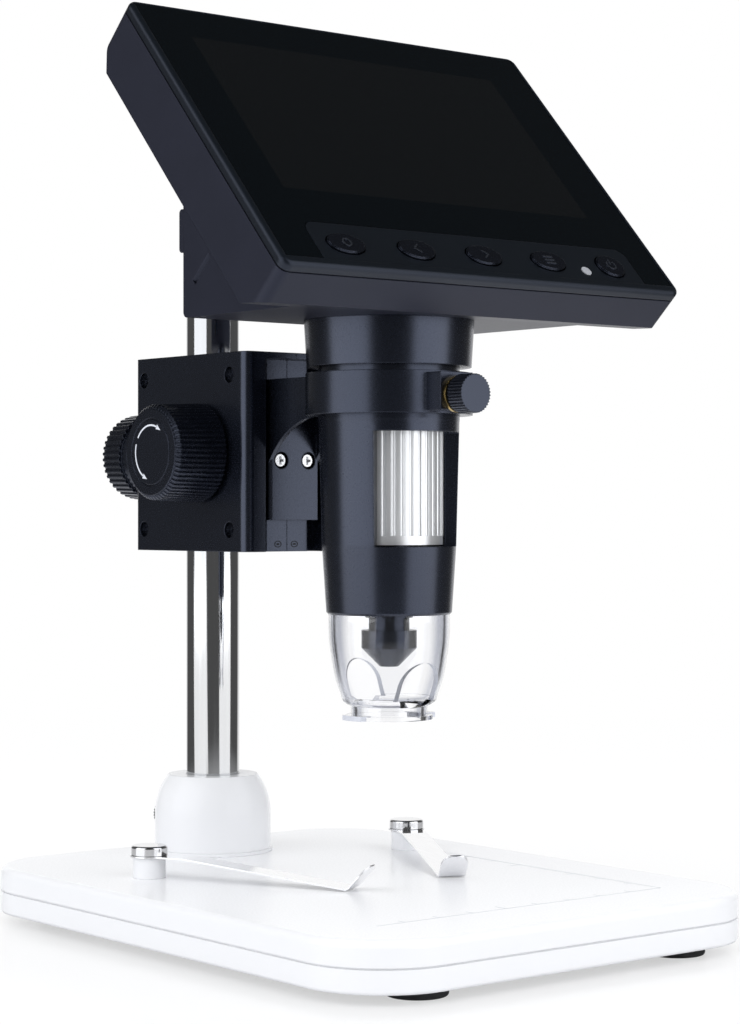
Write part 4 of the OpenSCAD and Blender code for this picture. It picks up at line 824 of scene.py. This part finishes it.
class SCOPE_OT_stage(bpy.types.Operator):
    """Build the white studio, its lamps and the camera"""
    bl_idname = "scope.stage"
    bl_label = "Studio"

    CAMERA_AT = Vector((-384.8, -490.1, 104.57)) * MM
    AZIMUTH = math.radians(-38.908)
    AWAY = (-math.sin(AZIMUTH), math.cos(AZIMUTH), 0)
    # a white backdrop fills the mirrored room this far towards AWAY, as cosines
    BACKDROP = (0.76, 0.88)
    # side panels: angle from the camera and half spread, in degrees, seen from the object
    PANELS = {"left": (-56.5, 32.5), "right": (59.5, 29.0)}
    PANEL_AWAY, PANEL_TALL, PANEL_HEIGHT = 1.1, 1.2, 0.55
    CEILING_WIDE, CEILING_HEIGHT = 3.0, 1.4
    FLOOR_WIDE = 6.0

    def execute(self, context):
        studio = context.scene.scope_studio
        self.floor(studio)
        self.world(context.scene, studio)
        for side, (angle, spread) in self.PANELS.items():
            self.panel(side + "_panel", angle, spread, studio.key)
        wide = self.CEILING_WIDE
        top = self.lamp("top_panel", wide, wide, studio.top, (0, 0, self.CEILING_HEIGHT))
        top.visible_glossy = False
        self.camera(context.scene, studio)
        context.scene.view_settings.view_transform = "Standard"
        return {"FINISHED"}

    def sideways(self, angle):
        """Level direction from the object, at an angle in degrees from the camera."""
        turn = self.AZIMUTH + math.radians(angle)
        return Vector((math.sin(turn), -math.cos(turn), 0))

    def floor(self, studio):
        """A pale floor that fades to white, and in mirrors to the room with its panels."""
        clear_selection()
        bpy.ops.mesh.primitive_plane_add(size=self.FLOOR_WIDE, location=(0, 0, -0.02 * MM))
        floor = apply_place(active("floor"))
        s = Shader("white floor")
        s.put(s.body, base_color=(*studio.floor, 1), roughness=0.16, ior=1.45)
        place = s.coords.outputs["Object"]
        spread = s.add("ShaderNodeVectorMath", operation="LENGTH")
        s.link(place, spread.inputs[0])
        away = spread.outputs["Value"]
        heading = s.add("ShaderNodeVectorMath", operation="NORMALIZE")
        s.link(place, heading.inputs[0])
        ahead = heading.outputs["Vector"]

        straight_seen, through, mirrored, _ = s.rays()
        seen = s.math("MAXIMUM", straight_seen, through)
        room = s.ranged(s.along(ahead, self.AWAY), studio.mirrored, 1.0, *self.BACKDROP)
        for angle, half in self.PANELS.values():
            edge = math.cos(math.radians(half))
            lit = s.ranged(s.along(ahead, self.sideways(angle)), 0.0, 0.9 * studio.key,
                           edge - 0.01, edge + 0.01)
            room = s.math("MAXIMUM", room, lit)
        glow = s.add("ShaderNodeEmission")
        s.link(s.math("MAXIMUM", seen, s.math("MULTIPLY", mirrored, room)),
               glow.inputs["Strength"])
        far_white = s.math("MULTIPLY", seen, s.ranged(away, 0.56, 1.0, 0.30, 0.7))
        far_room = s.math("MULTIPLY", mirrored, s.ranged(away, 0.0, 1.0, 0.18, 0.42))
        mix = s.add("ShaderNodeMixShader")
        s.link(s.math("MAXIMUM", far_white, far_room), mix.inputs[0])
        s.link(s.body.outputs[0], mix.inputs[1])
        s.link(glow.outputs[0], mix.inputs[2])
        s.link(mix.outputs[0], s.tree.nodes["Material Output"].inputs["Surface"])
        floor.data.materials.append(s.material)

    def world(self, scene, studio):
        """White to the eye and through clear pieces; mirrors show a dim room with a white
        backdrop."""
        world = bpy.data.worlds.new("studio")
        scene.world = world
        world.use_nodes = True
        kit = NodeKit(world.node_tree)
        heading = kit.add("ShaderNodeTexCoord").outputs["Generated"]
        ahead = kit.along(heading, self.AWAY)
        backdrop = kit.ranged(ahead, 0.0, 1.0, *self.BACKDROP)
        dimmer = kit.ranged(kit.along(heading, (0, 0, 1)), studio.mirrored,
                            0.4 * studio.mirrored, 0.35, 0.65)
        room = kit.math("MAXIMUM", backdrop, dimmer)
        straight_seen, through, mirrored, scattered = kit.rays()
        bent = kit.math("MULTIPLY", through, kit.ranged(ahead, studio.glassy, 1.0, 0.35, 0.85))
        seen = kit.math("MAXIMUM", straight_seen, bent)
        even = kit.math("MULTIPLY", scattered, studio.fill)
        gloss = kit.math("MULTIPLY", mirrored, room)
        back = kit.tree.nodes["Background"]
        kit.link(kit.math("MAXIMUM", seen, kit.math("MAXIMUM", even, gloss)),
                 back.inputs["Strength"])
        back.inputs["Color"].default_value = (1, 1, 1, 1)

    def lamp(self, name, wide, tall, radiance, place):
        """An even rectangular light that shines down from its place."""
        light = bpy.data.lights.new(name, "AREA")
        light.shape = "RECTANGLE"
        light.size, light.size_y = wide, tall
        light.energy = radiance * wide * tall * math.pi
        holder = bpy.data.objects.new(name, light)
        bpy.context.scene.collection.objects.link(holder)
        holder.location = place
        return holder

    def panel(self, name, angle, spread, radiance):
        """A tall soft panel beside the object, turned to its middle."""
        wide = 2 * self.PANEL_AWAY * math.tan(math.radians(spread))
        place = self.sideways(angle) * self.PANEL_AWAY + Vector((0, 0, self.PANEL_HEIGHT))
        holder = self.lamp(name, wide, self.PANEL_TALL, radiance, place)
        holder.data.color = (0.95, 0.97, 1.0)
        to_middle = Vector((0, 0, 0.12)) - place
        holder.rotation_euler = to_middle.to_track_quat("-Z", "Y").to_euler()

    def camera(self, scene, studio):
        """A level camera with a plain film."""
        view = bpy.data.cameras.new("camera")
        view.lens = studio.lens
        view.sensor_width = 36
        view.clip_start, view.clip_end = 0.01, 20
        holder = bpy.data.objects.new("camera", view)
        scene.collection.objects.link(holder)
        holder.location = self.CAMERA_AT
        holder.rotation_euler = (math.pi / 2, 0, self.AZIMUTH)
        scene.camera = holder


class SCOPE_PT_panel(bpy.types.Panel):
    """Lists the steps that dress the microscope"""
    bl_idname = "SCOPE_PT_panel"
    bl_label = "Microscope"
    bl_space_type = "VIEW_3D"
    bl_region_type = "UI"
    bl_category = "Microscope"

    def draw(self, context):
        for step in STEPS:
            self.layout.operator(step.bl_idname)


STEPS = (SCOPE_OT_finishes, SCOPE_OT_clear_cap, SCOPE_OT_ruler, SCOPE_OT_key_marks,
         SCOPE_OT_lock_arrows, SCOPE_OT_mould_marks, SCOPE_OT_stage)


def register():
    for group in SETTINGS.values():
        bpy.utils.register_class(group)
    for name, group in SETTINGS.items():
        setattr(bpy.types.Scene, name, bpy.props.PointerProperty(type=group))
    for step in STEPS:
        bpy.utils.register_class(step)
    bpy.utils.register_class(SCOPE_PT_panel)


def unregister():
    bpy.utils.unregister_class(SCOPE_PT_panel)
    for step in reversed(STEPS):
        bpy.utils.unregister_class(step)
    for name in SETTINGS:
        delattr(bpy.types.Scene, name)
    for group in SETTINGS.values():
        bpy.utils.unregister_class(group)


def main():
    register()
    bpy.ops.scope.finishes()
    bpy.ops.scope.clear_cap()
    bpy.ops.scope.ruler()
    bpy.ops.scope.key_marks()
    bpy.ops.scope.lock_arrows()
    bpy.ops.scope.mould_marks()
    bpy.ops.scope.stage()
    clear_selection()


if __name__ == "__main__":
    main()
